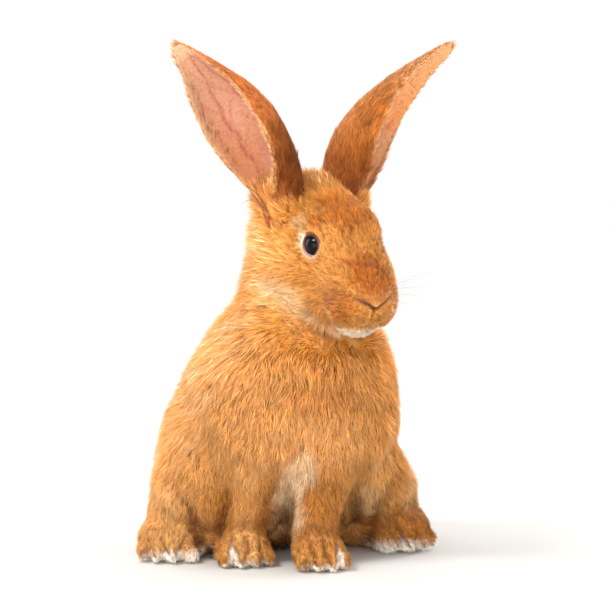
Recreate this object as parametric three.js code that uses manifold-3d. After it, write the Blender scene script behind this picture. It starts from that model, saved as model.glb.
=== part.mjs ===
// A life-size domestic rabbit, sitting up alert with its forelegs straight and its head turned to its left.
// Units are millimetres, +Z is up. The rabbit faces -Y, and its left side is +X. It rests on z = 0.
//
// The flesh is one distance field: rounded masses blended like clay. Each named node is that field, made a
// surface on its own grid and cut free of its neighbours along a plane or an ellipsoid, with a thin gap.
import * as THREE from "three";
import { mergeVertices } from "three/addons/utils/BufferGeometryUtils.js";
import Module from "manifold-3d";

const wasm = await Module();
wasm.setup();

// ---------- driving dimensions ----------
const GAP = 0.3; // between nodes that touch

const head = {
  middle: [22, -2, 207], // midway between the eyes
  yaw: 17, // degrees, to the rabbit's left
  pitch: 30, // degrees, nose down
  roll: -2,
};
const eye = {
  radius: 8.4,
  place: [17.2, -1, 0], // of the left eye, in the head's frame
  outward: [0.955, -0.2, 0.22], // the way the left eye looks
  rim: 4.9, // how far out of the eye's middle the rim of the lids lies
  lid: 1.5, // half the lids' thickness
  slant: 1.06, // how much longer the rim is than high
};
// Both ears are given in the head's frame: the root, the way from there to the tip, the way that the cup
// faces, how far the middle bends off the straight line, and the cup's radius at each station.
const ears = {
  left: {
    root: [24, 43, 11],
    reach: [84.5, 45.5, 76.5],
    opening: [0.66, -0.75, 0.1],
    bow: [-13.5, 5.5, 0],
    radii: [12, 14, 17.5, 20.4, 19, 15.6, 13.4, 9.9, 7.2, 3.7],
  },
  right: {
    root: [-25, 42, 12],
    reach: [-70, 46, 81.5],
    opening: [-0.92, -0.38, 0.1],
    bow: [11, 3, 0],
    radii: [12, 14, 17.5, 20.8, 22.4, 20.8, 16.8, 11.8, 7.2, 3.4],
  },
  thickness: 3.2,
};
const forefoot = { width: 38, length: 42, height: 21, toes: 4 };
const hindfoot = { width: 42, length: 94, height: 27, toes: 4, splay: 22 };
const pawPlace = { left: [13, 18], right: [-31, 43] }; // x and y of the middle of each forepaw
const hindToePlace = { left: [89, 51], right: [-81, 51] }; // x and y of the front of the middle toes

// ---------- distance fields ----------
const hypot = Math.hypot;
const degrees = THREE.MathUtils.degToRad;

// The matrix that takes a mass's own frame to the frame that it is placed in.
function placed(position, turns = [0, 0, 0]) {
  const [x, y, z] = turns.map(degrees);
  return new THREE.Matrix4()
    .makeRotationFromEuler(new THREE.Euler(x, y, z, "ZYX"))
    .setPosition(...position);
}

function ellipsoid(centre, [rx, ry, rz], turns) {
  const m = placed(centre, turns).invert().elements;
  return (px, py, pz) => {
    const x = m[0] * px + m[4] * py + m[8] * pz + m[12];
    const y = m[1] * px + m[5] * py + m[9] * pz + m[13];
    const z = m[2] * px + m[6] * py + m[10] * pz + m[14];
    const outer = hypot(x / rx, y / ry, z / rz);
    const slope = hypot(x / (rx * rx), y / (ry * ry), z / (rz * rz));
    return slope < 1e-9 ? -Math.min(rx, ry, rz) : (outer * (outer - 1)) / slope;
  };
}

// A round bar from a to b, whose radius runs from ra to rb.
function limb(a, b, ra, rb) {
  const [dx, dy, dz] = b.map((v, i) => v - a[i]);
  const length2 = dx * dx + dy * dy + dz * dz;
  return (px, py, pz) => {
    const x = px - a[0];
    const y = py - a[1];
    const z = pz - a[2];
    const along = THREE.MathUtils.clamp((x * dx + y * dy + z * dz) / length2, 0, 1);
    return hypot(x - along * dx, y - along * dy, z - along * dz) - (ra + along * (rb - ra));
  };
}

// Masses melted together: soft is the width over which one runs into the next.
function blend(soft, ...masses) {
  return (x, y, z) => {
    let d = masses[0](x, y, z);
    for (let i = 1; i < masses.length; i++) {
      const e = masses[i](x, y, z);
      const h = Math.max(soft - Math.abs(d - e), 0) / soft;
      d = Math.min(d, e) - (h * h * soft) / 4;
    }
    return d;
  };
}

// The same mass on both sides of the x = 0 plane.
const bothSides = (make) => [make(1), make(-1)];

function movedBy(matrix, mass) {
  const m = matrix.clone().invert().elements;
  return (px, py, pz) =>
    mass(
      m[0] * px + m[4] * py + m[8] * pz + m[12],
      m[1] * px + m[5] * py + m[9] * pz + m[13],
      m[2] * px + m[6] * py + m[10] * pz + m[14],
    );
}

// ---------- the rabbit's masses ----------
const headFrame = placed(head.middle, [head.pitch, head.roll, head.yaw]);

const headMass = movedBy(
  headFrame,
  blend(
    9,
    ellipsoid([0, 20, 2], [26, 36, 23]), // skull
    ellipsoid([0, 44, -5], [28, 22, 27]), // back of the head
    limb([0, 8, 2], [0, -35, -15], 20.5, 16), // bridge of the nose
    limb([0, 0, -10], [0, -32, -17], 22, 18), // face
    ellipsoid([0, -36, -20], [19, 15, 16]), // muzzle
    ellipsoid([0, -45, -13.5], [8, 6.5, 7]), // nose
    ellipsoid([0, -31, -34], [13, 15, 11]), // chin
    ...bothSides((s) => ellipsoid([s * 10, -38, -21.5], [12, 11.5, 11.5])), // whisker pads
    ...bothSides((s) => ellipsoid([s * 13, -17, -10], [13, 23, 18])), // below the eye
    ...bothSides((s) => limb([s * 17, 18, -26], [s * 8, -22, -33], 19, 12)), // jaw
    ...bothSides((s) => ellipsoid([s * 21, 23, -20], [17, 26, 22])), // cheek
    ...bothSides((s) => ellipsoid([s * 13, 1, 11], [8, 15, 7])), // brow
  ),
);

const forelegs = { left: 1, right: -1 };
const shoulderHeight = 104;
const elbow = (side) => {
  const [x, y] = pawPlace[side];
  return [0.55 * x + 0.45 * 30 * forelegs[side], 0.45 * y + 27, 64];
};
const wrist = (side) => {
  const [x, y] = pawPlace[side];
  return [x, y + 8, 25];
};

const forelegMass = (side) =>
  blend(
    10,
    limb([30 * forelegs[side] + 3, 40, shoulderHeight], elbow(side), 24, 19),
    limb(elbow(side), wrist(side), 18, 13),
    ellipsoid([...pawPlace[side], forefoot.height * 0.48], [
      forefoot.width / 2 - 1,
      forefoot.length / 2 - 3,
      forefoot.height * 0.55,
    ]),
  );

// The middle of the line along a hind foot, at a share of its length from the toes to the heel.
function alongHindfoot(side, share, z) {
  const s = forelegs[side];
  const [x, y] = hindToePlace[side];
  const back = share * hindfoot.length;
  return [
    x - s * back * Math.sin(degrees(hindfoot.splay)),
    y + back * Math.cos(degrees(hindfoot.splay)),
    z,
  ];
}

const knee = (s) => [s * 62 + 3, 72, 46];

function hindlegMass(side) {
  const s = forelegs[side];
  const turn = [0, 0, s * hindfoot.splay];
  const { width, length, height } = hindfoot;
  return blend(
    12,
    ellipsoid([s * 47 + 1, 92, 56], [31, 50, 50], [0, 0, s * 10]), // haunch
    limb(knee(s), alongHindfoot(side, 0.56, 24), 24, 20), // shank
    ellipsoid(alongHindfoot(side, 0.56, height * 0.4), [width / 2 - 2, length * 0.44, height * 0.5], turn),
    ellipsoid(alongHindfoot(side, 0.26, height * 0.48), [width / 2, length * 0.25, height * 0.56], turn),
  );
}

const trunkMass = blend(
  22,
  ellipsoid([2, 106, 69], [66, 60, 66]), // rump
  ellipsoid([4, 80, 104], [64, 56, 62]), // loin
  ellipsoid([5, 50, 114], [54, 46, 60]), // rib cage
  ellipsoid([9, 28, 128], [44, 31, 44]), // breast
  ellipsoid([2, 92, 52], [50, 46, 44]), // belly
  ...bothSides((s) => ellipsoid([s * 36 + 6, 40, 104], [25, 30, 46])), // shoulder
);
const neckMass = blend(
  16,
  limb([3, 62, 138], [5, 50, 164], 45, 36), // lower
  limb([6, 42, 184], [8, 40, 210], 33.5, 33.5), // upper
);
const tailMass = ellipsoid([0, 168, 36], [15, 13, 27], [-18, 0, 0]);

const bodyMass = blend(
  14,
  trunkMass,
  neckMass,
  tailMass,
  forelegMass("left"),
  forelegMass("right"),
  hindlegMass("left"),
  hindlegMass("right"),
);
const flesh = blend(12, bodyMass, headMass); // the body alone where the head isn't part of the node

// ---------- from a field to a closed mesh ----------
function slopeOf(field, [x, y, z]) {
  const step = 0.05;
  return [
    (field(x + step, y, z) - field(x - step, y, z)) / (2 * step),
    (field(x, y + step, z) - field(x, y - step, z)) / (2 * step),
    (field(x, y, z + step) - field(x, y, z - step)) / (2 * step),
  ];
}

// Moves a point that is near the surface onto it. One that is further off is on the grid's own wall.
function ontoSurface(field, point, cell) {
  let p = point;
  for (let round = 0; round < 3; round++) {
    const depth = field(...p);
    if (Math.abs(depth) > 0.6 * cell) return point;
    const slope = slopeOf(field, p);
    const square = slope.reduce((sum, v) => sum + v * v, 0);
    p = p.map((v, axis) => v - (depth * slope[axis]) / square);
  }
  return p;
}

// Surface nets: one vertex in each grid cell that the surface crosses, and one quad for each grid edge that
// it crosses.
function surfaceNets(field, { low, high, cell }) {
  const count = low.map((v, i) => Math.ceil((high[i] - v) / cell) + 3);
  const [nx, ny, nz] = count;
  const at = (i, j, k) => i + nx * (j + ny * k);
  const values = new Float32Array(nx * ny * nz);
  for (let k = 0; k < nz; k++)
    for (let j = 0; j < ny; j++)
      for (let i = 0; i < nx; i++) {
        const edge = i === 0 || j === 0 || k === 0 || i === nx - 1 || j === ny - 1 || k === nz - 1;
        const [x, y, z] = [i, j, k].map((n, axis) => low[axis] + (n - 1) * cell);
        values[at(i, j, k)] = edge ? cell : field(x, y, z);
      }
  const corners = [0, 1, 2, 3, 4, 5, 6, 7].map((n) => [n & 1, (n >> 1) & 1, n >> 2]);
  const vertexOf = new Int32Array(nx * ny * nz).fill(-1);
  const positions = [];
  for (let k = 0; k < nz - 1; k++)
    for (let j = 0; j < ny - 1; j++)
      for (let i = 0; i < nx - 1; i++) {
        const sum = [0, 0, 0];
        let crossings = 0;
        for (let a = 0; a < 8; a++)
          for (let b = a + 1; b < 8; b++) {
            const step = a ^ b;
            if (step !== 1 && step !== 2 && step !== 4) continue;
            const va = values[at(i + corners[a][0], j + corners[a][1], k + corners[a][2])];
            const vb = values[at(i + corners[b][0], j + corners[b][1], k + corners[b][2])];
            if (va < 0 === vb < 0) continue;
            const t = va / (va - vb);
            for (let n = 0; n < 3; n++) sum[n] += corners[a][n] + t * (corners[b][n] - corners[a][n]);
            crossings++;
          }
        if (!crossings) continue;
        vertexOf[at(i, j, k)] = positions.length / 3;
        const first = [i, j, k].map((n, axis) => low[axis] + (n - 1 + sum[axis] / crossings) * cell);
        positions.push(...ontoSurface(field, first, cell));
      }
  const apart = (a, b) => hypot(...[0, 1, 2].map((n) => positions[3 * a + n] - positions[3 * b + n]));
  const faces = [];
  const steps = [at(1, 0, 0), at(0, 1, 0), at(0, 0, 1)];
  for (let k = 0; k < nz - 1; k++)
    for (let j = 0; j < ny - 1; j++)
      for (let i = 0; i < nx - 1; i++) {
        const here = at(i, j, k);
        steps.forEach((step, axis) => {
          const inside = values[here] < 0;
          if (inside === values[here + step] < 0) return;
          const u = steps[(axis + 1) % 3];
          const v = steps[(axis + 2) % 3];
          const quad = [here - u - v, here - v, here, here - u].map((n) => vertexOf[n]);
          if (!inside) quad.reverse();
          const [a, b, c, d] = quad;
          if (apart(a, c) < apart(b, d)) faces.push(a, b, c, a, c, d);
          else faces.push(b, c, d, b, d, a);
        });
      }
  return solidFrom(new Float32Array(positions), new Uint32Array(faces));
}

function solidFrom(vertProperties, triVerts) {
  return new wasm.Manifold(new wasm.Mesh({ numProp: 3, vertProperties, triVerts }));
}

// A three.js geometry, placed by a matrix, as a solid.
function solidOf(geometry, matrix = new THREE.Matrix4()) {
  const bare = geometry.clone().applyMatrix4(matrix);
  bare.deleteAttribute("normal");
  bare.deleteAttribute("uv");
  const merged = mergeVertices(bare, 1e-4);
  return solidFrom(merged.attributes.position.array, new Uint32Array(merged.index.array));
}

function largest(solid) {
  return solid.decompose().reduce((best, one) => (one.volume() > best.volume() ? one : best));
}

// ---------- cutters ----------
// Each is a function of how much larger it is than the node that it frees, so that neighbours keep a gap.
const ellipsoidCutter = (centre, radii, turns) => (grow) =>
  solidOf(
    new THREE.SphereGeometry(1, 16, 9),
    placed(centre, turns).scale(new THREE.Vector3(...radii.map((r) => r + grow))),
  );
const boxCutter = (centre, size, turns) => (grow) =>
  solidOf(new THREE.BoxGeometry(...size.map((s) => s + 2 * grow)), placed(centre, turns));

const WORLD = 600;
const aboveFloor = solidOf(new THREE.BoxGeometry(WORLD, WORLD, WORLD), placed([0, 0, WORLD / 2]));

// ---------- nodes of flesh ----------
// Each has its cutter, the box that its field is sampled in, and the size of a grid cell. A node is cut free
// of all those above it in the list.
const inHead = (point) => new THREE.Vector3(...point).applyMatrix4(headFrame).toArray();

const headCutter = (grow) => {
  const size = 260;
  const underJaw = placed([0, 0, -46 - grow], [2, 0, 0]);
  return solidOf(
    new THREE.BoxGeometry(size, size, size).translate(0, 0, size / 2),
    headFrame.clone().multiply(underJaw),
  );
};
const neckCutter = (grow) => {
  const size = 240;
  return solidOf(
    new THREE.BoxGeometry(size, size, size).translate(0, 0, size / 2),
    placed([0, 50, 152 - grow], [16, 0, 0]),
  );
};

const pawCutter = (side) => boxCutter([pawPlace[side][0], pawPlace[side][1] - 8, 7], [46, 48, 40]);
const forelegCutter = (side) => {
  const [x, y] = pawPlace[side];
  const s = forelegs[side];
  const e = elbow(side);
  return ellipsoidCutter([(x + e[0]) / 2 + s, (y + e[1]) / 2 + 6, 42], [25, 31, 56], [0, 0, s * 9]);
};
const hindfootCutter = (side) =>
  boxCutter(alongHindfoot(side, 0.5, 9), [hindfoot.width + 8, hindfoot.length + 16, 34], [
    0,
    0,
    forelegs[side] * hindfoot.splay,
  ]);
const thighCutter = (s) => ellipsoidCutter([s * 56, 90, 50], [36, 60, 58], [0, 0, s * 10]);

// The box that each field is sampled in, and the size of the cell.
const grid = (low, high, cell) => ({ low, high, cell });
const headGrid = grid([-48, -65, 128], [92, 80, 266], 6);
const fleshNodes = [
  { name: "head", cutter: headCutter, grid: headGrid, field: flesh },
  { name: "neck", cutter: neckCutter, grid: grid([-70, -45, 112], [80, 140, 250], 9.5) },
  {
    name: "tail",
    cutter: ellipsoidCutter([0, 178, 36], [25, 20, 38], [-18, 0, 0]),
    grid: grid([-30, 140, -6], [30, 204, 80], 7),
  },
  ...["left", "right"].flatMap((side) => {
    const s = forelegs[side];
    const [x, y] = pawPlace[side];
    return [
      {
        name: `forepaw_${side}`,
        cutter: pawCutter(side),
        grid: grid([x - 36, y - 44, -9], [x + 36, y + 46, 42], 6),
      },
      {
        name: `foreleg_${side}`,
        cutter: forelegCutter(side),
        grid: grid([x - 44, y - 44, 8], [x + 48, y + 70, 118], 7.6),
      },
      {
        name: `hindfoot_${side}`,
        cutter: hindfootCutter(side),
        grid: grid([s > 0 ? 8 : -128, 26, -9], [s > 0 ? 128 : -8, 170, 46], 6.4),
      },
      {
        name: `thigh_${side}`,
        cutter: thighCutter(s),
        grid: grid([s > 0 ? 0 : -112, 14, -9], [s > 0 ? 112 : 0, 166, 124], 11),
      },
    ];
  }),
  { name: "torso", cutter: null, grid: grid([-96, -32, -9], [100, 196, 214], 13) },
];

const solids = new Map();
const cut = [];
for (const { name, cutter, grid, field = bodyMass } of fleshNodes) {
  let solid = surfaceNets(field, grid).intersect(aboveFloor);
  if (cutter) solid = solid.intersect(cutter(0));
  for (const other of cut) solid = solid.subtract(other);
  solids.set(name, largest(solid));
  if (cutter) cut.push(cutter(GAP));
}

// ---------- eyes and lids ----------
const sideSign = { left: 1, right: -1 };
const mirrored = ([x, y, z], side) => [sideSign[side] * x, y, z];

function eyePlace(side) {
  const outward = new THREE.Vector3(...mirrored(eye.outward, side)).normalize();
  const turn = new THREE.Matrix4().lookAt(outward, new THREE.Vector3(), new THREE.Vector3(0, 0, 1));
  return headFrame.clone().multiply(turn.setPosition(...mirrored(eye.place, side)));
}
const eyeball = (side, radius) => solidOf(new THREE.SphereGeometry(radius, 16, 11), eyePlace(side));

// The rim that both lids make round the eyeball, and the dish in the head that it lies in.
function lids(side) {
  const ring = Math.sqrt(eye.radius ** 2 - eye.rim ** 2);
  const torus = new THREE.TorusGeometry(ring, eye.lid, 5, 16).scale(eye.slant, 1, 1).translate(0, 0, eye.rim);
  return solidOf(torus, eyePlace(side));
}
function orbit(side) {
  const [wide, high, deep] = [11, 10, 5];
  const dish = new THREE.SphereGeometry(1, 12, 8).scale(wide, high, deep);
  return solidOf(dish.translate(0, 0, eye.rim + deep - 0.6), eyePlace(side));
}

// ---------- nose and mouth ----------
// A point of the head's frame, moved onto the head's surface and then sunk under it.
function onHead(point, sink) {
  let p = inHead(point);
  for (let round = 0; round < 12; round++) {
    const depth = flesh(...p) + (round === 11 ? sink : 0);
    const slope = slopeOf(flesh, p);
    const square = slope.reduce((sum, v) => sum + v * v, 0);
    p = p.map((v, axis) => v - (depth * slope[axis]) / square);
  }
  return new THREE.Vector3(...p);
}

// A groove of that half width, cut along a curve through those points.
function groove(points, halfWidth, sink) {
  const path = new THREE.CatmullRomCurve3(points.map((point) => onHead(point, sink)));
  const circle = new THREE.EllipseCurve(0, 0, halfWidth, halfWidth);
  const section = new THREE.Shape(circle.getPoints(5).slice(0, 5));
  const steps = 3 * (points.length - 1);
  return solidOf(new THREE.ExtrudeGeometry(section, { steps, bevelEnabled: false, extrudePath: path }));
}
const onSide = (points, side) => points.map((point) => mirrored(point, side));
const nostril = (side) => groove(onSide([[0.6, -51, -16], [4, -50, -13.6], [8.4, -46, -11]], side), 1.1, 0.1);
const philtrum = () => groove([[0, -51, -16], [0, -50, -20], [0, -47, -25]], 0.7, 0.1);
const lipLine = [[0, -47, -25], [6, -45, -28.5], [12, -38, -30], [16, -29, -28]];
const mouthLine = (side) => groove(onSide(lipLine, side), 0.9, 0.2);

// ---------- ears ----------
// Stations from root to tip: share of the ear's length, and half the angle that the cup curls through.
const EAR_STATIONS = [
  [-0.14, 2.9],
  [0, 2.75],
  [0.15, 2.35],
  [0.3, 2.05],
  [0.46, 1.9],
  [0.62, 1.72],
  [0.76, 1.42],
  [0.88, 1.2],
  [0.96, 1.08],
  [1, 0.95],
];

function earShell(side) {
  const along = 18;
  const across = 8;
  const { root, reach, opening, bow, radii } = ears[side];
  const stations = EAR_STATIONS.map(([share, curl], n) => new THREE.Vector3(share, radii[n], curl));
  const earStation = new THREE.CatmullRomCurve3(stations);
  const start = new THREE.Vector3(...root);
  const end = start.clone().add(new THREE.Vector3(...reach));
  const bend = new THREE.Vector3(...bow).multiplyScalar(2);
  const axis = new THREE.QuadraticBezierCurve3(start, start.clone().lerp(end, 0.5).add(bend), end);
  const faces = new THREE.Vector3(...opening);
  const positions = [];
  for (const skin of [1, -1])
    for (let i = 0; i <= along; i++) {
      const { x: share, y: radius, z: curl } = earStation.getPoint(i / along);
      const centre = axis.getPoint(share);
      const tangent = axis.getTangent(THREE.MathUtils.clamp(share, 0, 1));
      const open = faces.clone().addScaledVector(tangent, -faces.dot(tangent)).normalize();
      const sideways = open.clone().cross(tangent);
      // the axis runs through the middle of the cup's depth
      centre.addScaledVector(open, (radius * (1 + Math.cos(curl))) / 2);
      for (let j = 0; j <= across; j++) {
        const v = (2 * j) / across - 1;
        const out = sideways.clone().multiplyScalar(Math.sin(curl * v));
        out.addScaledVector(open, -Math.cos(curl * v));
        const half = (ears.thickness / 2) * (1 - 0.4 * v * v) * (1 - 0.3 * Math.max(share, 0));
        positions.push(...centre.clone().addScaledVector(out, radius + skin * half).toArray());
      }
    }
  const row = across + 1;
  const layer = row * (along + 1);
  const faceList = [];
  const quad = (a, b, c, d) => faceList.push(a, b, c, a, c, d);
  for (let i = 0; i < along; i++) {
    for (let j = 0; j < across; j++) {
      const a = i * row + j;
      quad(a, a + 1, a + row + 1, a + row); // outer face
      faceList.push(layer + a, layer + a + row + 1, layer + a + 1); // inner face, split along the same line
      faceList.push(layer + a, layer + a + row, layer + a + row + 1);
    }
    const [first, last] = [i * row, i * row + across];
    quad(first, first + row, layer + first + row, layer + first);
    quad(last + row, last, layer + last, layer + last + row);
  }
  for (let j = 0; j < across; j++) {
    const top = along * row + j;
    quad(j + 1, j, layer + j, layer + j + 1);
    quad(top, top + 1, layer + top + 1, layer + top);
  }
  const geometry = new THREE.BufferGeometry()
    .setAttribute("position", new THREE.Float32BufferAttribute(positions, 3))
    .setIndex(faceList);
  return solidOf(geometry, headFrame);
}

// ---------- toes and claws ----------
// A toe is an egg laid along the foot; its claw is a cone that leaves the toe's front, low down.
function toesOf(foot, middle, turn, { spread, size, front, outerShort }) {
  const toes = [];
  for (let n = 0; n < foot.toes; n++) {
    const lane = n - (foot.toes - 1) / 2; // -1.5 to 1.5
    const back = Math.abs(lane) > 1 ? outerShort : 0; // the outer toes end further back
    const inFoot = placed([lane * spread, back - front, size[2] * 0.9], [0, 0, lane * 7]);
    toes.push({ frame: placed(middle, [0, 0, turn]).multiply(inFoot), size });
  }
  return toes;
}
const toeSolid = ({ frame, size }) =>
  solidOf(new THREE.SphereGeometry(1, 8, 6), frame.clone().scale(new THREE.Vector3(...size)));
function clawSolid({ frame, size }, grow) {
  const length = 7;
  const cone = new THREE.ConeGeometry(1.3 + grow, length + 2 * grow, 6).rotateX(Math.PI).rotateX(degrees(24));
  return solidOf(cone, frame.clone().multiply(placed([0, -size[1] + 1.2, -size[2] * 0.42])));
}

for (const side of ["left", "right"]) {
  const s = sideSign[side];
  const [x, y] = pawPlace[side];
  const foreToe = { spread: 8.4, size: [5.6, 10, 7.4], front: 11.5, outerShort: 3.5 };
  const hindToe = { spread: 9.2, size: [6.2, 13, 9], front: -13, outerShort: 4 };
  const feet = {
    forepaw: toesOf(forefoot, [x, y, 0], 0, foreToe),
    hindfoot: toesOf(hindfoot, alongHindfoot(side, 0, 0), s * hindfoot.splay, hindToe),
  };
  for (const [foot, toes] of Object.entries(feet)) {
    const name = `${foot}_${side}`;
    let solid = solids.get(name);
    for (const toe of toes) solid = solid.add(toeSolid(toe).intersect(aboveFloor));
    toes.forEach((toe, n) => {
      solid = solid.subtract(clawSolid(toe, GAP));
      solids.set(`claw_${foot}_${side}_${n + 1}`, clawSolid(toe, 0).intersect(aboveFloor));
    });
    solids.set(name, largest(solid));
  }

  let withEye = solids.get("head").subtract(orbit(side)).add(lids(side));
  for (const line of [nostril(side), mouthLine(side)]) withEye = withEye.subtract(line);
  solids.set("head", withEye.subtract(eyeball(side, eye.radius + GAP)));
  solids.set(`eye_${side}`, eyeball(side, eye.radius));
}
solids.set("head", largest(solids.get("head").subtract(philtrum())));

const headWithGap = surfaceNets((x, y, z) => flesh(x, y, z) - GAP, headGrid);
for (const side of ["left", "right"])
  solids.set(`ear_${side}`, largest(earShell(side).subtract(headWithGap)));

// ---------- the model ----------
const material = (color, roughness) => new THREE.MeshStandardMaterial({ color, roughness, metalness: 0 });
const coatMaterial = material("#d48a45", 0.9);
const earMaterial = material("#d9956a", 0.85);
const eyeMaterial = material("#1c0f0a", 0.08);
const clawMaterial = material("#8c7a66", 0.5);
const materialOf = (name) => {
  if (name.startsWith("eye")) return eyeMaterial;
  if (name.startsWith("claw")) return clawMaterial;
  return name.startsWith("ear") ? earMaterial : coatMaterial;
};

function meshOf(solid, name, finish) {
  const { vertProperties, triVerts, numProp, numVert } = solid.getMesh();
  const positions = new Float32Array(numVert * 3);
  for (let i = 0; i < numVert; i++)
    positions.set(vertProperties.subarray(i * numProp, i * numProp + 3), i * 3);
  const geometry = new THREE.BufferGeometry()
    .setAttribute("position", new THREE.BufferAttribute(positions, 3))
    .setIndex(new THREE.BufferAttribute(triVerts, 1));
  geometry.computeVertexNormals();
  const mesh = new THREE.Mesh(geometry, finish);
  mesh.name = name;
  return mesh;
}

// The origin is at the middle of the whole model's box, on the floor.
const bounds = new THREE.Box3();
for (const solid of solids.values()) {
  const { min, max } = solid.boundingBox();
  bounds.union(new THREE.Box3(new THREE.Vector3(...min), new THREE.Vector3(...max)));
}
const middle = bounds.getCenter(new THREE.Vector3());

const rabbit = new THREE.Group();
for (const [name, solid] of solids)
  rabbit.add(meshOf(solid.translate([-middle.x, -middle.y, -bounds.min.z]), name, materialOf(name)));

export default rabbit;
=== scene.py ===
import math

import bmesh
import bpy
import numpy as np
from mathutils import Euler, Matrix, Vector
from mathutils.bvhtree import BVHTree
from mathutils.kdtree import KDTree


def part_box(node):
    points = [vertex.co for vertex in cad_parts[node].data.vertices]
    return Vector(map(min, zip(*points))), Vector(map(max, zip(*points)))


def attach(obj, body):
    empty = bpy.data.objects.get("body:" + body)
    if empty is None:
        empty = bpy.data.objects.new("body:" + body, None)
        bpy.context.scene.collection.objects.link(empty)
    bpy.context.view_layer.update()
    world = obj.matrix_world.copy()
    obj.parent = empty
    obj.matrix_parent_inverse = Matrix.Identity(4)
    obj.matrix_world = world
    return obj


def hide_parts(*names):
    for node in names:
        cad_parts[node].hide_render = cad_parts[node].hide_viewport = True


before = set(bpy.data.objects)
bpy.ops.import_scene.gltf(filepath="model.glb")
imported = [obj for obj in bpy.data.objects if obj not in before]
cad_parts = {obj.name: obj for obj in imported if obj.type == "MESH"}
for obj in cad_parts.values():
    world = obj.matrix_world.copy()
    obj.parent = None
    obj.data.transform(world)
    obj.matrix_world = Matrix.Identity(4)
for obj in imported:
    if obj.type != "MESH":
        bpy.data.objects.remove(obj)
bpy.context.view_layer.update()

# A sitting rabbit: one skin with its face, two fine ears, eyes with lids, claws, whiskers, and a coat of
# solid tufts. Places are in millimetres of two frames. "body" is the rabbit's own: x to its left, y back, z
# up from the floor. "head" starts midway between the eyes and turns with the head: x left, y back, z up.

mm = 0.001
left, right = 1, -1
sides = {"left": left, "right": right}


# Small helpers.
def hexColour(code):
    parts = [int(code[i:i + 2], 16) / 255 for i in (1, 3, 5)]
    return tuple(c / 12.92 if c <= 0.04045 else ((c + 0.055) / 1.055) ** 2.4 for c in parts)


def opaque(code):
    return (*hexColour(code), 1)


def colourOf(code):
    return np.array(hexColour(code))


def addNode(tree, kind, inputs=None, **settings):
    node = tree.nodes.new(kind)
    for name, value in settings.items():
        setattr(node, name, value)
    for key, value in (inputs or {}).items():
        if isinstance(value, bpy.types.NodeSocket):
            tree.links.new(value, node.inputs[key])
        else:
            node.inputs[key].default_value = value
    return node


def newMaterial(name, looks):
    material = bpy.data.materials.new(name)
    material.use_nodes = True
    tree = material.node_tree
    tree.nodes.clear()
    surface = addNode(tree, "ShaderNodeBsdfPrincipled", looks)
    addNode(tree, "ShaderNodeOutputMaterial", {"Surface": surface.outputs["BSDF"]})
    return material, tree, surface


# A material that is mottled between two tones. Its grain is in mm.
def mottledMaterial(name, grain, detail, codes, looks):
    material, tree, surface = newMaterial(name, looks)
    spot = addNode(tree, "ShaderNodeTexCoord").outputs["Object"]
    clouds = addNode(tree, "ShaderNodeTexNoise", {
        "Vector": spot, "Scale": 1 / (grain * mm), "Detail": detail,
    })
    low, high = (opaque(code) for code in codes)
    tone = addNode(tree, "ShaderNodeMix", {0: clouds.outputs["Fac"], 6: low, 7: high}, data_type="RGBA")
    tree.links.new(tone.outputs[2], surface.inputs["Base Color"])
    return material


# Sizes of the materials' patterns in mm. The finest are drawn coarser than in life, so that they show.
grains = {
    "iris": 0.5, "lid": 0.9, "down": 1.2, "vessels": 7, "hide": 0.9, "whisker": 6, "lash": 1.5, "claw": 0.7,
}


def unit(vectors):
    return vectors / np.maximum(np.linalg.norm(vectors, axis=-1, keepdims=True), 1e-12)


# From 0 at low to 1 at high with soft ends, and level beyond them. Where low is above high, it falls.
def smoothStep(low, high, value):
    t = np.clip((value - low) / (high - low), 0, 1)
    return t * t * (3 - 2 * t)


def meshObject(name, vertices, faces, material=None):
    mesh = bpy.data.meshes.new(name)
    mesh.from_pydata([tuple(v) for v in vertices], [], faces)
    piece = bpy.data.objects.new(name, mesh)
    bpy.context.scene.collection.objects.link(piece)
    mesh.polygons.foreach_set("use_smooth", [True] * len(mesh.polygons))
    if material:
        mesh.materials.append(material)
    return piece


def pointsOf(mesh):
    points = np.zeros(len(mesh.vertices) * 3)
    mesh.vertices.foreach_get("co", points)
    return points.reshape(-1, 3)


def setPoints(mesh, points):
    mesh.vertices.foreach_set("co", points.ravel())
    mesh.update()


def normalsOf(mesh):
    normals = np.zeros(len(mesh.vertices) * 3)
    mesh.vertex_normals.foreach_get("vector", normals)
    return normals.reshape(-1, 3)


# Writes a value or a colour for each point of a mesh, as the attribute that its material reads.
def paint(mesh, name, values):
    if name in mesh.attributes:
        mesh.attributes.remove(mesh.attributes[name])
    kind = "FLOAT_COLOR" if values.ndim == 2 else "FLOAT"
    attribute = mesh.attributes.new(name, kind, "POINT")
    if kind == "FLOAT":
        attribute.data.foreach_set("value", values.astype(np.float32))
    else:
        full = np.ones((len(values), 4), np.float32)
        full[:, :3] = values
        attribute.data.foreach_set("color", full.ravel())


# Every piece rides on the root, as nothing moves.
def finishPiece(piece, nodes):
    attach(piece, "root")
    if nodes:
        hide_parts(*nodes)


# How far each point is from a row of spots, in mm, and where along the row the nearest one is, from 0 to 1.
def nearestIn(points, spots):
    tree = KDTree(len(spots))
    for i, spot in enumerate(spots):
        tree.insert(spot, i)
    tree.balance()
    found = [tree.find(p) for p in points]
    return np.array([f[2] for f in found]) / mm, np.array([f[1] for f in found]) / max(1, len(spots) - 1)


# A gentle wave through space, between -1 and 1, that is the same at each run.
def wave(points, millimetres, seed):
    rng = np.random.default_rng(seed)
    total = np.zeros(len(points))
    for octave in range(6):
        way = unit(rng.normal(size=3)) * (2 * math.pi / (millimetres * mm)) * rng.uniform(0.6, 1.5)
        total += np.sin(points @ way + rng.uniform(0, 6.28))
    return total / 3.2


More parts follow.
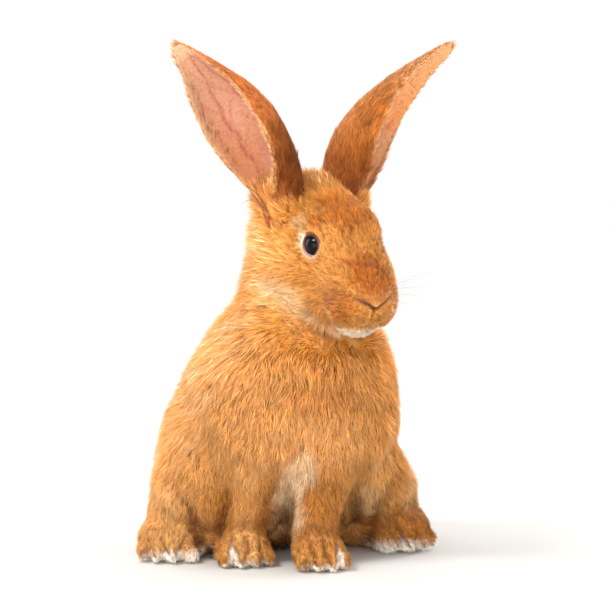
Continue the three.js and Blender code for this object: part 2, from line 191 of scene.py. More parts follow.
# Frames.
headPose = {"yaw": 17, "pitch": 30, "roll": -2, "middle": (22, -2, 207)}  # degrees, and its place on the body
headTurn = np.array(Euler([math.radians(headPose[k]) for k in ("pitch", "roll", "yaw")], "XYZ").to_matrix())


def middleOf(node):
    low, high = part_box(node)
    return np.array((low + high) / 2)


eyesMiddle = (middleOf("eye_left") + middleOf("eye_right")) / 2
headStart = eyesMiddle - headTurn @ np.array([0, -1, 0]) * mm
bodyStart = headStart - np.array(headPose["middle"]) * mm
bodyStart[2] = 0


def onBody(points):
    return np.asarray(points, float) * mm + bodyStart


def onHead(points):
    return np.asarray(points, float) * mm @ headTurn.T + headStart


def inHead(points):
    return (points - headStart) @ headTurn / mm


def inBody(points):
    return (points - bodyStart) / mm


# An eye's middle, and the ways out of the head, to its front and up, at right angles to one another.
def eyeFrame(side):
    outward = unit(headTurn @ np.array((sides[side] * 0.955, -0.2, 0.22)))
    front = headTurn @ np.array((0, -1, 0))
    front = unit(front - outward * (front @ outward))
    up = unit(headTurn @ np.array((0, 0, 1)))
    up = unit(up - outward * (up @ outward) - front * (up @ front))
    return middleOf(f"eye_{side}"), outward, front, up


eyeFrames = {side: eyeFrame(side) for side in sides}


# How far each point is from the line that each eye looks along, in mm; far off on the other side of the head.
def fromEyes(points):
    closest = np.full(len(points), 99.0)
    for start, outward, front, up in eyeFrames.values():
        away = (points - start) / mm
        ahead = away @ outward
        reach = np.linalg.norm(away - ahead[:, None] * outward, axis=1)
        closest = np.where(ahead > 1, np.minimum(closest, reach), closest)
    return closest


# The pale ring round each eye, broad behind it and under its front corner: the way there from the eye's
# middle, how far round it spreads, in degrees, and how much broader the ring is, in mm.
eyeRing = {"broad": 6.0, "behind": (185, 42, 2.8), "corner": (330, 38, 2.0), "under": (268, 45, 0.8)}


def paleRing(points):
    share = np.zeros(len(points))
    for start, outward, front, up in eyeFrames.values():
        away = (points - start) / mm
        angle = np.degrees(np.arctan2(away @ up, away @ front)) % 360
        broad, strongest = eyeRing["broad"], np.zeros(len(points))
        for part in ("behind", "corner", "under"):
            middle, spread, wider = eyeRing[part]
            near = np.exp(-((((angle - middle + 180) % 360 - 180) / spread) ** 2))
            broad = broad + wider * near
            strongest = np.maximum(strongest, 0.75 * near if part == "under" else near)
        reach = np.linalg.norm(away - (away @ outward)[:, None] * outward, axis=1)
        outer = smoothStep(broad - 1.0, broad + 1.8, reach + 0.7 * wave(points, 4, 11))
        share = np.maximum(share, (away @ outward > 1) * (1 - outer) * strongest)
    return share


# Camera, light and floor.
shot = {
    "azimuth": -14, "elevation": 4.5, "distance": 1600, "target": (0, 0, 168),
    "pixels": 612, "scale": 0.62,  # millimetres a pixel at the target
}
turn, rise = math.radians(shot["azimuth"]), math.radians(shot["elevation"])
backwards = Vector((math.sin(turn) * math.cos(rise), -math.cos(turn) * math.cos(rise), math.sin(rise)))
target = Vector(onBody(shot["target"]))

cameraData = bpy.data.cameras.new("camera")
cameraData.sensor_width = 36
cameraData.lens = cameraData.sensor_width * shot["distance"] / (shot["scale"] * shot["pixels"])
camera = bpy.data.objects.new("camera", cameraData)
camera.location = target + backwards * shot["distance"] * mm
camera.rotation_euler = backwards.to_track_quat("Z", "Y").to_euler()
bpy.context.scene.collection.objects.link(camera)
bpy.context.scene.camera = camera

studio = {  # places in the body frame
    "sky": 1.06,
    "window": {"place": (-640, -330, 1010), "size": (360, 220), "watts": 9.8},
    "side": {"place": (900, 500, 420), "size": (600, 700), "watts": 8.5},
    "back": {"place": (-700, 700, 500), "size": (600, 700), "watts": 4.5},
    "low": {"place": (-700, -1100, 220), "size": (1300, 900), "watts": 11.5},
}
for name in ("window", "side", "back", "low"):
    setting = studio[name]
    lamp = bpy.data.lights.new(name, "AREA")
    lamp.shape = "RECTANGLE"
    lamp.energy = setting["watts"]
    lamp.size, lamp.size_y = (length * mm for length in setting["size"])
    light = bpy.data.objects.new(name, lamp)
    light.location = onBody(setting["place"])
    light.rotation_euler = (light.location - target).to_track_quat("Z", "Y").to_euler()
    bpy.context.scene.collection.objects.link(light)

world = bpy.data.worlds.new("studio")
world.use_nodes = True
world.node_tree.nodes["Background"].inputs["Color"].default_value = opaque("#ffffff")
world.node_tree.nodes["Background"].inputs["Strength"].default_value = studio["sky"]
bpy.context.scene.world = world
bpy.context.scene.view_settings.view_transform = "Standard"

# White matte paper: no gloss. Near the object it is painted a little darker and warmer than further off, a
# painted shade that lets the shadow show.
paper = {"near": "#cbcac6", "far": "#fbfbfb", "reach": (0.25, 1.3)}  # reach in metres
floorMaterial, tree, surface = newMaterial("white matte paper", {"Roughness": 0.9})
spot = addNode(tree, "ShaderNodeTexCoord").outputs["Object"]
away = addNode(tree, "ShaderNodeVectorMath", {0: spot}, operation="LENGTH").outputs["Value"]
away = addNode(tree, "ShaderNodeMapRange", {
    "Value": away, "From Min": paper["reach"][0], "From Max": paper["reach"][1],
}).outputs["Result"]
near, far = opaque(paper["near"]), opaque(paper["far"])
tone = addNode(tree, "ShaderNodeMix", {0: away, 6: near, 7: far}, data_type="RGBA")
tree.links.new(tone.outputs[2], surface.inputs["Base Color"])
floor = meshObject("floor", [(-6, -6, 0), (6, -6, 0), (6, 6, 0), (-6, 6, 0)], [(0, 1, 2, 3)], floorMaterial)
print("stage and camera made")

# The coat's plan: how it lies, how deep, how long and how wide its tufts are. Each row is a place, the way
# that the hair points there, the coat's depth and the length and width of a tuft, in mm. A row off the
# middle stands for both sides of the body.
bodyMiddle = 4  # the body's middle plane, as x in its frame
coatPlan = {
    "head": [
        ((0, -52, -9), (0, 0.45, 0.9), 0.5, 2.2, 0.23),  # tip of the nose
        ((0, -46, -2), (0, 0.6, 0.8), 0.9, 3.0, 0.25),
        ((0, -30, 6), (0, 0.85, 0.5), 1.3, 4.4, 0.28),  # bridge
        ((0, -5, 24), (0, 1, 0.25), 1.7, 6.0, 0.31),  # forehead
        ((0, 25, 26), (0, 0.9, 0.4), 2.8, 8.5, 0.36),  # crown
        ((0, 40, 22), (0, 0.75, 0.6), 4.0, 9.5, 0.39),  # between the ears
        ((0, 62, 0), (0, 0.5, -0.85), 4.0, 10.0, 0.44),  # back of the head
        ((12, -50, -16), (0.75, 0.6, -0.15), 0.8, 3.2, 0.27),  # beside the nostril
        ((19, -42, -18), (0.55, 0.8, -0.25), 1.2, 4.6, 0.3),  # whisker pad
        ((14, -42, -27), (0.3, 0.6, -0.75), 1.4, 5.0, 0.28),  # lower edge of the pad
        ((5, -53, -22), (0.5, 0.2, -0.85), 0.9, 3.2, 0.26),  # upper lip
        ((0, -47, -34), (0, 0.35, -0.9), 1.4, 4.2, 0.28),  # lower lip
        ((0, -34, -45), (0, 0.95, -0.2), 1.5, 4.6, 0.32),  # chin
        ((8, -24, -50), (0, 1, 0.1), 1.4, 4.6, 0.32),
        ((20, -12, -50), (0.1, 1, -0.1), 1.6, 5.5, 0.34),
        ((20, -24, -8), (0.25, 0.95, -0.05), 1.4, 5.0, 0.3),  # side of the nose
        ((27, -12, -20), (0.15, 0.9, -0.35), 1.8, 6.5, 0.33),  # below the eye
        ((33, 8, -30), (0.15, 0.85, -0.5), 2.8, 9.0, 0.39),  # cheek
        ((26, -6, -42), (0.15, 1, 0.0), 1.6, 5.5, 0.34),  # jaw
        ((34, 14, -46), (0.2, 0.85, -0.5), 3.6, 10.5, 0.39),
        ((30, 32, -22), (0.25, 0.9, -0.35), 4.0, 11.0, 0.41),  # back of the cheek
        ((33, 46, -8), (0.55, 0.75, -0.25), 3.0, 9.5, 0.4),  # behind the ear's base
        ((20, -16, 10), (0.2, 0.9, 0.35), 1.2, 4.2, 0.28),  # before the eye
        ((21, 4, 18), (0.35, 0.85, 0.4), 1.3, 4.8, 0.3),  # brow
        ((27, 16, 2), (0.2, 1, -0.1), 1.8, 6.0, 0.33),  # behind the eye
        ((27, 28, 10), (0.3, 0.8, 0.5), 2.2, 7.5, 0.36),  # before the ear
        ((30, 38, 20), (0.35, 0.4, 0.85), 2.2, 9.0, 0.34),  # foot of the ear
        ((30, 44, 30), (0.5, 0.35, 0.8), 1.8, 8.5, 0.34),
        ((12, 46, 24), (0.25, 0.6, 0.75), 2.0, 7.0, 0.36),
        ((38, 58, 22), (0.6, 0.4, 0.7), 1.4, 8.0, 0.36),
    ],
    "body": [
        ((10, -8, 160), (0, -0.05, -1), 4.0, 12.0, 0.44),  # throat
        ((26, -2, 145), (0.1, 0.05, -1), 4.4, 13.0, 0.45),
        ((27, 0, 134), (0.12, 0.05, -1), 4.8, 14.0, 0.46),
        ((9, -4, 128), (0, 0.05, -1), 5.0, 16.0, 0.46),  # chest
        ((9, 6, 92), (0, 0.1, -1), 5.0, 15.0, 0.46),
        ((45, 18, 130), (0.3, 0.2, -1), 5.0, 14.0, 0.46),  # side of the chest
        ((40, 20, 95), (0.15, 0.2, -1), 4.5, 13.5, 0.46),
        ((40, 40, 168), (0.35, 0.35, -0.9), 4.5, 12.0, 0.44),  # side of the neck
        ((58, 55, 118), (0.25, 0.45, -0.85), 4.2, 12.0, 0.48),  # shoulder
        ((8, 86, 190), (0, 0.6, -0.8), 4.5, 11.0, 0.63),  # nape
        ((5, 108, 158), (0, 0.6, -0.8), 4.5, 11.0, 0.67),  # withers
        ((4, 140, 120), (0, 0.5, -0.85), 4.5, 12.0, 0.74),  # back
        ((4, 166, 80), (0, 0.25, -0.95), 4.5, 12.0, 0.74),  # rump
        ((4, 140, 20), (0, 0.5, -0.5), 4.0, 10.0, 0.74),
        ((64, 92, 116), (0.15, 0.5, -0.85), 4.5, 12.0, 0.7),  # flank
        ((78, 100, 70), (0.1, 0.3, -0.95), 4.0, 11.0, 0.67),  # haunch
        ((70, 60, 62), (0.1, 0.0, -1), 3.5, 10.0, 0.63),
        ((74, 74, 36), (0.2, -0.15, -1), 2.8, 8.0, 0.55),  # knee
        ((60, 130, 50), (0.1, 0.5, -0.85), 4.0, 11.0, 0.7),
        ((4, 40, 50), (0, 0.3, -0.95), 4.5, 11.0, 0.74),  # belly
        ((4, 90, 8), (0, 1, 0), 3.0, 8.0, 0.81),
        ((0.1, 182, 40), (0, 0.35, 0.95), 5.0, 13.0, 0.67),  # tail
        ((0.1, 160, 58), (0, 0.1, 1), 4.0, 11.0, 0.67),
    ],
}
legPlan = {  # by their distance before the foot's middle, to its outer side and above the floor
    "forepaw": [
        ((0, -20, 8), (0, -0.75, -0.7), 1.0, 4.2, 0.27),
        ((0, -6, 22), (0, -0.85, -0.6), 1.2, 5.0, 0.29),
        ((16, 0, 12), (0.1, -0.7, -0.6), 1.2, 4.8, 0.29),
        ((0, 6, 44), (0, -0.1, -1), 2.6, 7.5, 0.48),
        ((16, 10, 44), (0.1, 0, -1), 2.6, 7.5, 0.48),
        ((0, 16, 72), (0, 0.05, -1), 3.6, 10.5, 0.55),
        ((0, 4, 0), (0, -1, 0), 1.4, 4.5, 0.59),
    ],
    "hindfoot": [
        ((0, -46, 10), (0, -0.75, -0.7), 1.1, 4.4, 0.28),
        ((0, -26, 24), (0, -0.97, -0.2), 1.2, 5.4, 0.3),
        ((20, -20, 12), (0.2, -0.9, -0.4), 1.3, 5.2, 0.3),
        ((0, 6, 30), (0, -0.8, -0.6), 2.2, 6.5, 0.48),
        ((22, 14, 12), (0.15, -0.9, -0.3), 2.0, 6.0, 0.48),
        ((0, 46, 14), (0, 0.1, -1), 2.4, 7.0, 0.52),
        ((0, 0, 0), (0, -1, 0), 1.4, 4.5, 0.67),
    ],
}
hindSplay = 22  # degrees that each hind foot turns out


# A foot's frame: it starts on the floor under the foot's middle, and turns with the foot.
def footFrame(foot, side):
    splay = math.radians(sides[side] * hindSplay) if foot == "hindfoot" else 0
    return middleOf(f"{foot}_{side}") * (1, 1, 0), np.array(Matrix.Rotation(splay, 3, "Z"))


def planRows():
    rows = []
    for where, guides in coatPlan.items():
        for spot, lie, *sizes in guides:
            for s in ((left, right) if spot[0] else (left,)):
                x, y, z = spot
                way = np.array((s * lie[0], lie[1], lie[2]), float)
                if where == "head":
                    rows.append((onHead((s * x, y, z)), headTurn @ way, sizes))
                else:
                    rows.append((onBody((s * (x - bodyMiddle) + bodyMiddle, y, z)), way, sizes))
    for foot, guides in legPlan.items():
        for side, s in sides.items():
            start, turn = footFrame(foot, side)
            for spot, lie, *sizes in guides:
                for way in ((left, right) if spot[0] else (left,)):
                    rows.append((
                        start + turn @ np.array((way * spot[0], spot[1], spot[2])) * mm,
                        turn @ np.array((way * lie[0], lie[1], lie[2]), float),
                        sizes,
                    ))
    return rows


plan = planRows()
planPlaces = np.array([row[0] for row in plan])
planWays = unit(np.array([row[1] for row in plan]))
planSizes = np.array([row[2] for row in plan])


# The lie, depth, length and width of the coat at some points: the rows near a point count most.
def coatAt(points):
    lies = np.zeros((len(points), 3))
    sizes = np.zeros((len(points), 3))
    atOnce = 20000  # points, so that the table of distances stays small
    for start in range(0, len(points), atOnce):
        some = slice(start, start + atOnce)
        apart = np.linalg.norm(points[some, None, :] - planPlaces[None], axis=2) / mm
        weight = 1 / (apart ** 2 + 9) ** 2
        weight /= weight.sum(1, keepdims=True)
        lies[some] = weight @ planWays
        sizes[some] = weight @ planSizes
    return unit(lies), sizes[:, 0], sizes[:, 1], sizes[:, 2]


# Markings, the same for the skin and the coat.
tones = {
    "ginger": "#e29a4a",
    "rust": "#bd651c",
    "umber": "#8f4719",
    "sand": "#e6a964",
    "cream": "#eccb9f",
    "white": "#fff6ea",
    "bark": "#a4571c",
    "wine": "#7c3d33",
    "ivory": "#ffe3b8",
    "honey": "#ffbf74",
    "buff": "#f6cb94",
    "tan": "#cfa67c",
    "mauve": "#5f3437",
}
# Each row is a tone, a frame, a place, three radii and a strength. Later rows lie over earlier ones. A head
# row stands for both sides, and so does a foot row, whose frame starts under the middle of its foot.
markings = [
    ("sand", "body", (5, 60, 60), (120, 140, 110), 0.45),
    ("sand", "body", (-45, 40, 110), (46, 70, 60), 0.5),
    ("rust", "body", (14, -6, 116), (22, 26, 34), 0.2),  # middle of the chest
    ("honey", "body", (4, 6, 86), (42, 24, 26), 0.7),  # low on the chest
    ("rust", "body", (4, 120, 130), (26, 60, 50), 0.3),  # along the back
    ("tan", "body", (3, 80, 30), (24, 34, 40), 0.8),  # belly
    ("sand", "body", (54, 34, 62), (22, 26, 26), 0.6),  # low on the left flank
    ("honey", "body", (54, 42, 46), (19, 24, 36), 0.65),
    ("buff", "body", (52, 46, 34), (13, 18, 22), 0.6),  # behind the left foreleg
    ("honey", "body", (-86, 66, 42), (28, 38, 30), 0.85),  # shanks
    ("buff", "body", (90, 66, 42), (18, 30, 22), 0.5),
    ("honey", "body", (-74, 66, 74), (34, 46, 34), 0.45),  # right haunch
    ("cream", "body", (4, 176, 14), (26, 22, 20), 0.8),  # under the tail
    ("rust", "forepaw", (0, 4, 34), (19, 22, 46), 0.32),
    # Painted light: the right foreleg is painted lighter than the left.
    ("honey", "body", (-32, 24, 42), (17, 22, 44), 0.85),  # right foreleg
    # Painted light on the right hind foot and painted shade on the left one.
    ("honey", "body", (-80, 58, 26), (32, 40, 28), 0.95),  # right hind foot
    ("buff", "body", (-84, 58, 40), (28, 36, 16), 0.25),
    ("rust", "body", (78, 62, 20), (28, 30, 16), 0.45),  # left hind foot
    ("ivory", "body", (2, 18, 68), (12, 22, 18), 0.75),
    ("ivory", "body", (-3, 32, 46), (10.5, 26, 28), 0.95),  # the wedge between the forelegs
    # Painted shade at the foot of the wedge.
    ("umber", "body", (2, 60, 4), (13, 30, 18), 0.8),  # and its shaded foot
    ("rust", "head", (0, -4, 26), (26, 30, 15), 0.75),  # forehead
    ("rust", "head", (0, -38, -1), (17, 26, 13), 0.85),  # top of the muzzle
    ("rust", "head", (18, -42, -16), (12, 14, 11), 0.65),  # whisker pads
    ("umber", "head", (12, -47, -9), (9, 8, 3), 0.3),
    ("rust", "head", (21, 1, 15), (8, 9, 6), 0.62),  # brow
    ("buff", "head", (26, 13, 12), (4.5, 8, 12), 0.85),  # the pale arc behind the brow
    ("sand", "head", (31, 12, -16), (14, 22, 15), 0.3),  # cheeks
    ("cream", "head", (31, 2, -35), (13, 20, 10), 0.5),
    ("bark", "head", (31, 47, 27), (19, 17, 13), 0.8),  # feet of the ears
    # Painted shade on the throat, under the jaw.
    ("umber", "head", (8, -22, -60), (34, 24, 9), 0.2),  # throat
    ("buff", "head", (28, -4, -38), (16, 28, 14), 0.5),  # jaw
    ("ivory", "head", (0, -42, -37), (22, 26, 11), 0.9),  # chin
    ("white", "head", (0, -44, -38), (22, 18, 9), 0.6),
    ("cream", "head", (16, -24, -41), (14, 26, 7), 0.55),
    ("white", "hindfoot", (0, -34, 1), (34, 28, 12), 1),  # edges of the soles
    ("white", "hindfoot", (14, 0, 1), (17, 46, 9), 0.95),
    ("white", "forepaw", (0, -12, 0), (23, 16, 7.5), 0.95),
    ("white", "forepaw", (9.5, -12, 9), (3.4, 9, 9), 0.85),  # a pale lock on the outer toe
]


# Points in the frames of a marking: one for each side where a row stands for both.
def placesFor(where, points):
    if where == "body":
        return [inBody(points)]
    if where == "head":
        return [inHead(points) * (s, 1, 1) for s in (left, right)]
    frames = [(side, *footFrame(where, side)) for side in sides]
    return [(points - start) @ turn / mm * (sides[side], 1, 1) for side, start, turn in frames]


# Painted shade: darker hair in the folds between the legs and the trunk and between the toes. Darker hair
# also at the roots of the whiskers. Each has how far it reaches in mm, the height above the floor that it
# fades out at, and its strength.
foldShadeAndWhiskerDots = {"folds": (4.5, 80, 0.75), "toes": (1.2, 30, 0.75), "whiskers": (1.1, None, 0.6)}


def toneAt(points, speckles=()):
    colour = np.tile(hexColour(tones["ginger"]), (len(points), 1))
    ragged = 0.13 * wave(points, 9, 5) + 0.05 * wave(points, 3, 6)
    for tone, where, spot, radii, strength in markings:
        share = np.zeros(len(points))
        for own in placesFor(where, points):
            reach = np.linalg.norm((own - np.array(spot)) / np.array(radii), axis=1)
            share = np.maximum(share, strength * (1 - smoothStep(0.55, 1.1, reach + ragged)))
        colour = colour + share[:, None] * (colourOf(tones[tone]) - colour)
    colour = colour + paleRing(points)[:, None] * (colourOf(tones["white"]) - colour)
    dark = colourOf(tones["umber"])
    if len(speckles):
        reach, below, strength = foldShadeAndWhiskerDots["whiskers"]
        close = np.nonzero(np.abs(inHead(points)[:, 1] + 44) < 12)[0]
        share = strength * np.exp(-((nearestIn(points[close], speckles)[0] / reach) ** 2))[:, None]
        colour[close] = colour[close] * (1 - share) + dark * share
    # The folds and the toe creases get painted shade: the hair there is darkened towards umber.
    for name, spots in (("folds", foldSpots), ("toes", toeSpots)):
        reach, below, strength = foldShadeAndWhiskerDots[name]
        low = np.nonzero(inBody(points)[:, 2] < below)[0]
        share = strength * np.exp(-((nearestIn(points[low], spots)[0] / reach) ** 2))
        share = (share * (1 - smoothStep(0.3 * below, 0.9 * below, inBody(points[low])[:, 2])))[:, None]
        colour[low] = colour[low] * (1 - share) + 0.7 * dark * share
    dapple = 1 + 0.05 * wave(points, 22, 8) + 0.05 * wave(points, 6, 9)
    return colour * dapple[:, None]


# The ears' form: where each starts on the head and how far it reaches, the way that its cup opens, how far
# it bows and its radius from root to tip. Then its colours: how pale the cup's outer edge is, where along
# the back the base's tone ends and the tip's begins, the back's tones and how pale its middle is, the hair
# at the tip and at the edge, and where along it the hair covers the inside too (past 1 means nowhere).
ears = {
    "left": {
        "root": (24, 43, 11), "reach": (84.5, 45.5, 76.5),
        "opening": (0.66, -0.75, 0.1), "bow": (-13.5, 5.5, 0),
        "radii": (9, 12, 14, 17.5, 20.4, 19, 15.6, 13.4, 9.9, 7.2, 3.7), "paleEdge": 0.65,
        # The left ear's back is painted lighter than its own colour, and paler in its middle: painted light.
        "base": (0.0, 0.42), "tip": (0.4, 0.75), "back": ("#9c5219", "#e88c3a", "#f8b272"), "pale": 0.5,
        "tips": ("#df9450", "#eaa868"), "edges": ("#df9a58", "#eab984"), "furred": (0.42, 0.62),
    },
    "right": {
        "root": (-25, 42, 12), "reach": (-70, 46, 81.5),
        "opening": (-0.92, -0.38, 0.1), "bow": (11, 3, 0),
        "radii": (9, 12, 14, 17.5, 20.8, 22.4, 20.8, 16.8, 11.8, 7.2, 3.4), "paleEdge": 0.2,
        # The right ear's back is painted darker in its middle than its own colour: painted shade.
        "base": (0.1, 0.5), "tip": (0.82, 1), "back": ("#9c5219", "#bf6b2c", "#e6a066"), "pale": 0,
        "tips": ("#ecc897", "#f3dcb4"), "edges": ("#cf8844", "#96683e"), "furred": (2, 3),
    },
    "thickness": 3.2,
    "coat": 0.35,  # how far the ear's own surface lies inside the outline
}
# From root to tip: share of the length, and half the angle that the cup curls through.
earShares = np.array([-0.32, -0.14, 0, 0.15, 0.3, 0.46, 0.62, 0.76, 0.88, 0.96, 1])
earCurls = np.array([2.9, 2.9, 2.75, 2.35, 2.05, 1.9, 1.72, 1.42, 1.2, 1.08, 0.95])


# A smooth run through the values of the stations.
def throughStations(values, along):
    x = along * (len(values) - 1)
    i = np.minimum(x.astype(int), len(values) - 2)
    t = x - i
    padded = np.concatenate([[2 * values[0] - values[1]], values, [2 * values[-1] - values[-2]]])
    a, b, c, d = (padded[i + n] for n in range(4))
    square, cube = 2 * a - 5 * b + 4 * c - d, 3 * b - a - 3 * c + d
    return 0.5 * (2 * b + (c - a) * t + square * t ** 2 + cube * t ** 3)


# Points of an ear's sheet: along it from 0 to 1, across it from -1 to 1, and off its middle in mm, away
# from the cup. With them come the ways out of the sheet and along it.
def earPoint(side, along, across, off):
    ear = ears[side]
    stations = (earShares, ear["radii"], earCurls)
    share, radius, curl = (throughStations(np.array(values), along) for values in stations)
    start = np.array(ear["root"], float)
    end = start + ear["reach"]
    middle = (start + end) / 2 + 2 * np.array(ear["bow"])
    t = share[:, None]
    axis = (1 - t) ** 2 * start + 2 * t * (1 - t) * middle + t ** 2 * end
    t = np.clip(t, 0, 1)
    tangent = unit(2 * (1 - t) * (middle - start) + 2 * t * (end - middle))
    faces = np.array(ear["opening"])
    opening = unit(faces - tangent * (tangent @ faces)[:, None])
    sideways = np.cross(opening, tangent)
    axis = axis + opening * (radius * (1 + np.cos(curl)) / 2)[:, None]
    turn = (curl * across)[:, None]
    out = sideways * np.sin(turn) - opening * np.cos(turn)
    return onHead(axis + out * (radius + off)[:, None]), out @ headTurn.T, tangent @ headTurn.T


# Half the thickness of an ear, which thins to its rim and its tip, less the depth of its coat.
def halfWall(along, across):
    share = np.maximum(throughStations(earShares, along), 0)
    return (ears["thickness"] / 2) * (1 - 0.4 * across ** 2) * (1 - 0.3 * share) - ears["coat"]


# The skin.
skinSizes = {"voxel": 1.3, "smoothing": 14, "gap": 0.25}
fleshNodes = ["head", "neck", "tail", "torso"]
fleshNodes += [f"{part}_{side}" for side in sides for part in ("forepaw", "foreleg", "hindfoot", "thigh")]


# Hair builds up round the foot of each ear: mounds on the head, as places and radii, and a collar that hugs
# the back of the ear, as where it runs along the ear and how far its wall lies off it.
earFeet = {
    "mounds": [((25, 37, 6), (13, 17, 15)), ((29, 47, 0), (9, 13, 13))],
    "collar": (-0.28, -0.1), "wall": (-0.7, 1.6),
}


def addMound(whole, place, radii, s):
    ball = bmesh.ops.create_icosphere(whole, subdivisions=3, radius=1)["verts"]
    for vertex in ball:
        vertex.co = onHead(np.array(place) * (s, 1, 1) + np.array(vertex.co) * radii)


def addCollar(whole, side):
    rings, around = 14, 40
    low, high = earFeet["collar"]
    turn = 2 * math.pi * np.arange(around) / around
    inner, outer = earFeet["wall"]
    off = (inner + outer) / 2 - np.sin(turn) * (outer - inner) / 2
    shares = np.linspace(low, high, rings)
    spots = np.interp(shares, earShares, np.linspace(0, 1, len(earShares)))
    across = 0.93 * np.cos(turn)
    points = earPoint(side, np.repeat(spots, around), np.tile(across, rings), np.tile(off, rings))[0]
    verts = [whole.verts.new(point) for point in points]
    made = []
    for n in range(0, len(verts) - around, around):
        for i in range(around):
            k = (i + 1) % around
            corners = (n + i, n + k, n + around + k, n + around + i)
            made.append(whole.faces.new([verts[corner] for corner in corners]))
    made.append(whole.faces.new(verts[:around]))
    made.append(whole.faces.new(verts[-around:]))
    bmesh.ops.recalc_face_normals(whole, faces=made)


# The flesh nodes as one closed mesh. Each is swollen a little first, so that the gaps between them close.
def joinedFlesh():
    whole = bmesh.new()
    for side, s in sides.items():
        for place, radii in earFeet["mounds"]:
            addMound(whole, place, radii, s)
        addCollar(whole, side)
    for name in fleshNodes:
        part = bmesh.new()
        part.from_mesh(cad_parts[name].data)
        bmesh.ops.remove_doubles(part, verts=part.verts, dist=1e-6)
        part.normal_update()
        for vertex in part.verts:
            vertex.co += vertex.normal * skinSizes["gap"] * mm
        swollen = bpy.data.meshes.new("part")
        part.to_mesh(swollen)
        part.free()
        whole.from_mesh(swollen)
        bpy.data.meshes.remove(swollen)
    mesh = bpy.data.meshes.new("skin")
    whole.to_mesh(mesh)
    whole.free()
    return mesh


# Smooths without shrinking: a step inwards, then one outwards.
def relax(mesh, rounds, keep=None):
    points = pointsOf(mesh)
    edges = np.zeros(len(mesh.edges) * 2, np.int32)
    mesh.edges.foreach_get("vertices", edges)
    a, b = edges.reshape(-1, 2).T
    count = np.bincount(a, minlength=len(points)) + np.bincount(b, minlength=len(points))
    moving = np.ones(len(points)) if keep is None else keep
    for step in range(2 * rounds):
        total = np.zeros_like(points)
        for axis in range(3):
            ahead = np.bincount(a, points[b, axis], len(points))
            behind = np.bincount(b, points[a, axis], len(points))
            total[:, axis] = ahead + behind
        factor = 0.55 if step % 2 == 0 else -0.57
        points += factor * moving[:, None] * (total / count[:, None] - points)
    setPoints(mesh, points)


def makeSkin():
    skin = bpy.data.objects.new("skin", joinedFlesh())
    bpy.context.scene.collection.objects.link(skin)
    remesh = skin.modifiers.new("voxels", "REMESH")
    remesh.mode = "VOXEL"
    remesh.voxel_size = skinSizes["voxel"] * mm
    evaluated = skin.evaluated_get(bpy.context.evaluated_depsgraph_get())
    mesh = bpy.data.meshes.new_from_object(evaluated)
    bpy.data.objects.remove(skin)
    mesh.name = "skin"
    skin = bpy.data.objects.new("skin", mesh)
    bpy.context.scene.collection.objects.link(skin)
    relax(mesh, skinSizes["smoothing"])
    mesh.polygons.foreach_set("use_smooth", [True] * len(mesh.polygons))
    return skin


skin = makeSkin()
print("skin made:", len(skin.data.polygons), "faces")


# The face, worked into the skin. Lines on the head, in millimetres of its frame, each with the half width
# of its groove, the depth at its start and its end, and how far its lips stand proud.
noseMiddle = -1.5
muzzleMiddle = (noseMiddle, -50, -19)
faceLines = {
    "nostril right": (
        [(-2.6, -54.5, -13), (-6, -53, -11), (-9.5, -51.3, -9.6), (-12.8, -48.4, -8.6)], 0.9, 2.3, 0.9, 0.5,
    ),
    "nostril left": (
        [(-2.2, -54.5, -13), (1.6, -53.5, -11.4), (6, -51.5, -9.8), (10.4, -48.8, -8.6)], 0.8, 2.2, 0.6, 0.5,
    ),
    "philtrum": ([(-2.4, -55, -13.2), (-2.4, -54.5, -18), (-2.2, -53, -23)], 0.6, 1.2, 1.2, 0.35),
    "mouth right": (
        [(-2.2, -53, -23), (-7.5, -51.5, -26.3), (-13.5, -45, -29.2), (-19, -34, -29)], 0.8, 1.0, 0.5, 0.2,
    ),
    "mouth left": (
        [(-2.2, -53, -23), (4, -51.5, -26.3), (10.5, -45, -29.2), (16, -34, -29)], 0.8, 1.0, 0.5, 0.2,
    ),
}
# Swells and hollows of the head, on both sides: a place, three radii and a height, in millimetres.
faceForms = [
    ((18, -4, 16), (8, 10, 7), 1.4),  # bone above the eye
    ((14, -26, 7), (9, 10, 7), -2.8),  # hollow between the eye and the muzzle
    ((9, -46, -18), (8, 9, 7), 1.3),  # pad that carries the whiskers
    ((24, -27, -22), (5, 8, 11), -1.3),  # behind the pad
    ((31, 4, -26), (11, 15, 11), 0.4),  # cheek
    ((36, 24, -22), (12, 16, 22), -1.6),  # back of the cheek
    ((26, -9, -5), (5, 6, 4), -0.7),  # below the front corner of the eye
    ((8, -22, -56), (22, 15, 9), -4.5),  # throat, under the jaw
]
toeGroove = {
    "width": 1.2, "deep": 2.0, "shallow": 0.5, "lip": 0.4,
    "steps": ((0, -3, -1), (0, -1, 6), (0, 6, 13), (0, 14, 17)),  # from between two claws up over the foot
}


def fromMuzzle(points):
    return np.linalg.norm(inHead(points) - muzzleMiddle, axis=1)


# A tree of a mesh's faces, for the nearest spot on it or where a ray meets it.
def treeOf(mesh):
    return BVHTree.FromPolygons(
        [v.co for v in mesh.vertices], [tuple(p.vertices) for p in mesh.polygons], all_triangles=False
    )


# Splits the faces that lie near some places, so that fine forms have room.
def refine(mesh, near, cuts):
    work = bmesh.new()
    work.from_mesh(mesh)
    work.verts.ensure_lookup_table()
    edges = [edge for edge in work.edges if near[edge.verts[0].index] and near[edge.verts[1].index]]
    bmesh.ops.subdivide_edges(work, edges=edges, cuts=cuts, use_grid_fill=True)
    work.to_mesh(mesh)
    work.free()


# A line laid on a surface, as many close spots, and the way that the surface faces at each.
def snapped(line, tree, steps=14):
    dense = [a + (b - a) * t / steps for a, b in zip(line[:-1], line[1:]) for t in range(steps)]
    found = [tree.find_nearest(Vector(p)) for p in (*dense, line[-1])]
    return np.array([f[0] for f in found]), np.array([f[1] for f in found])


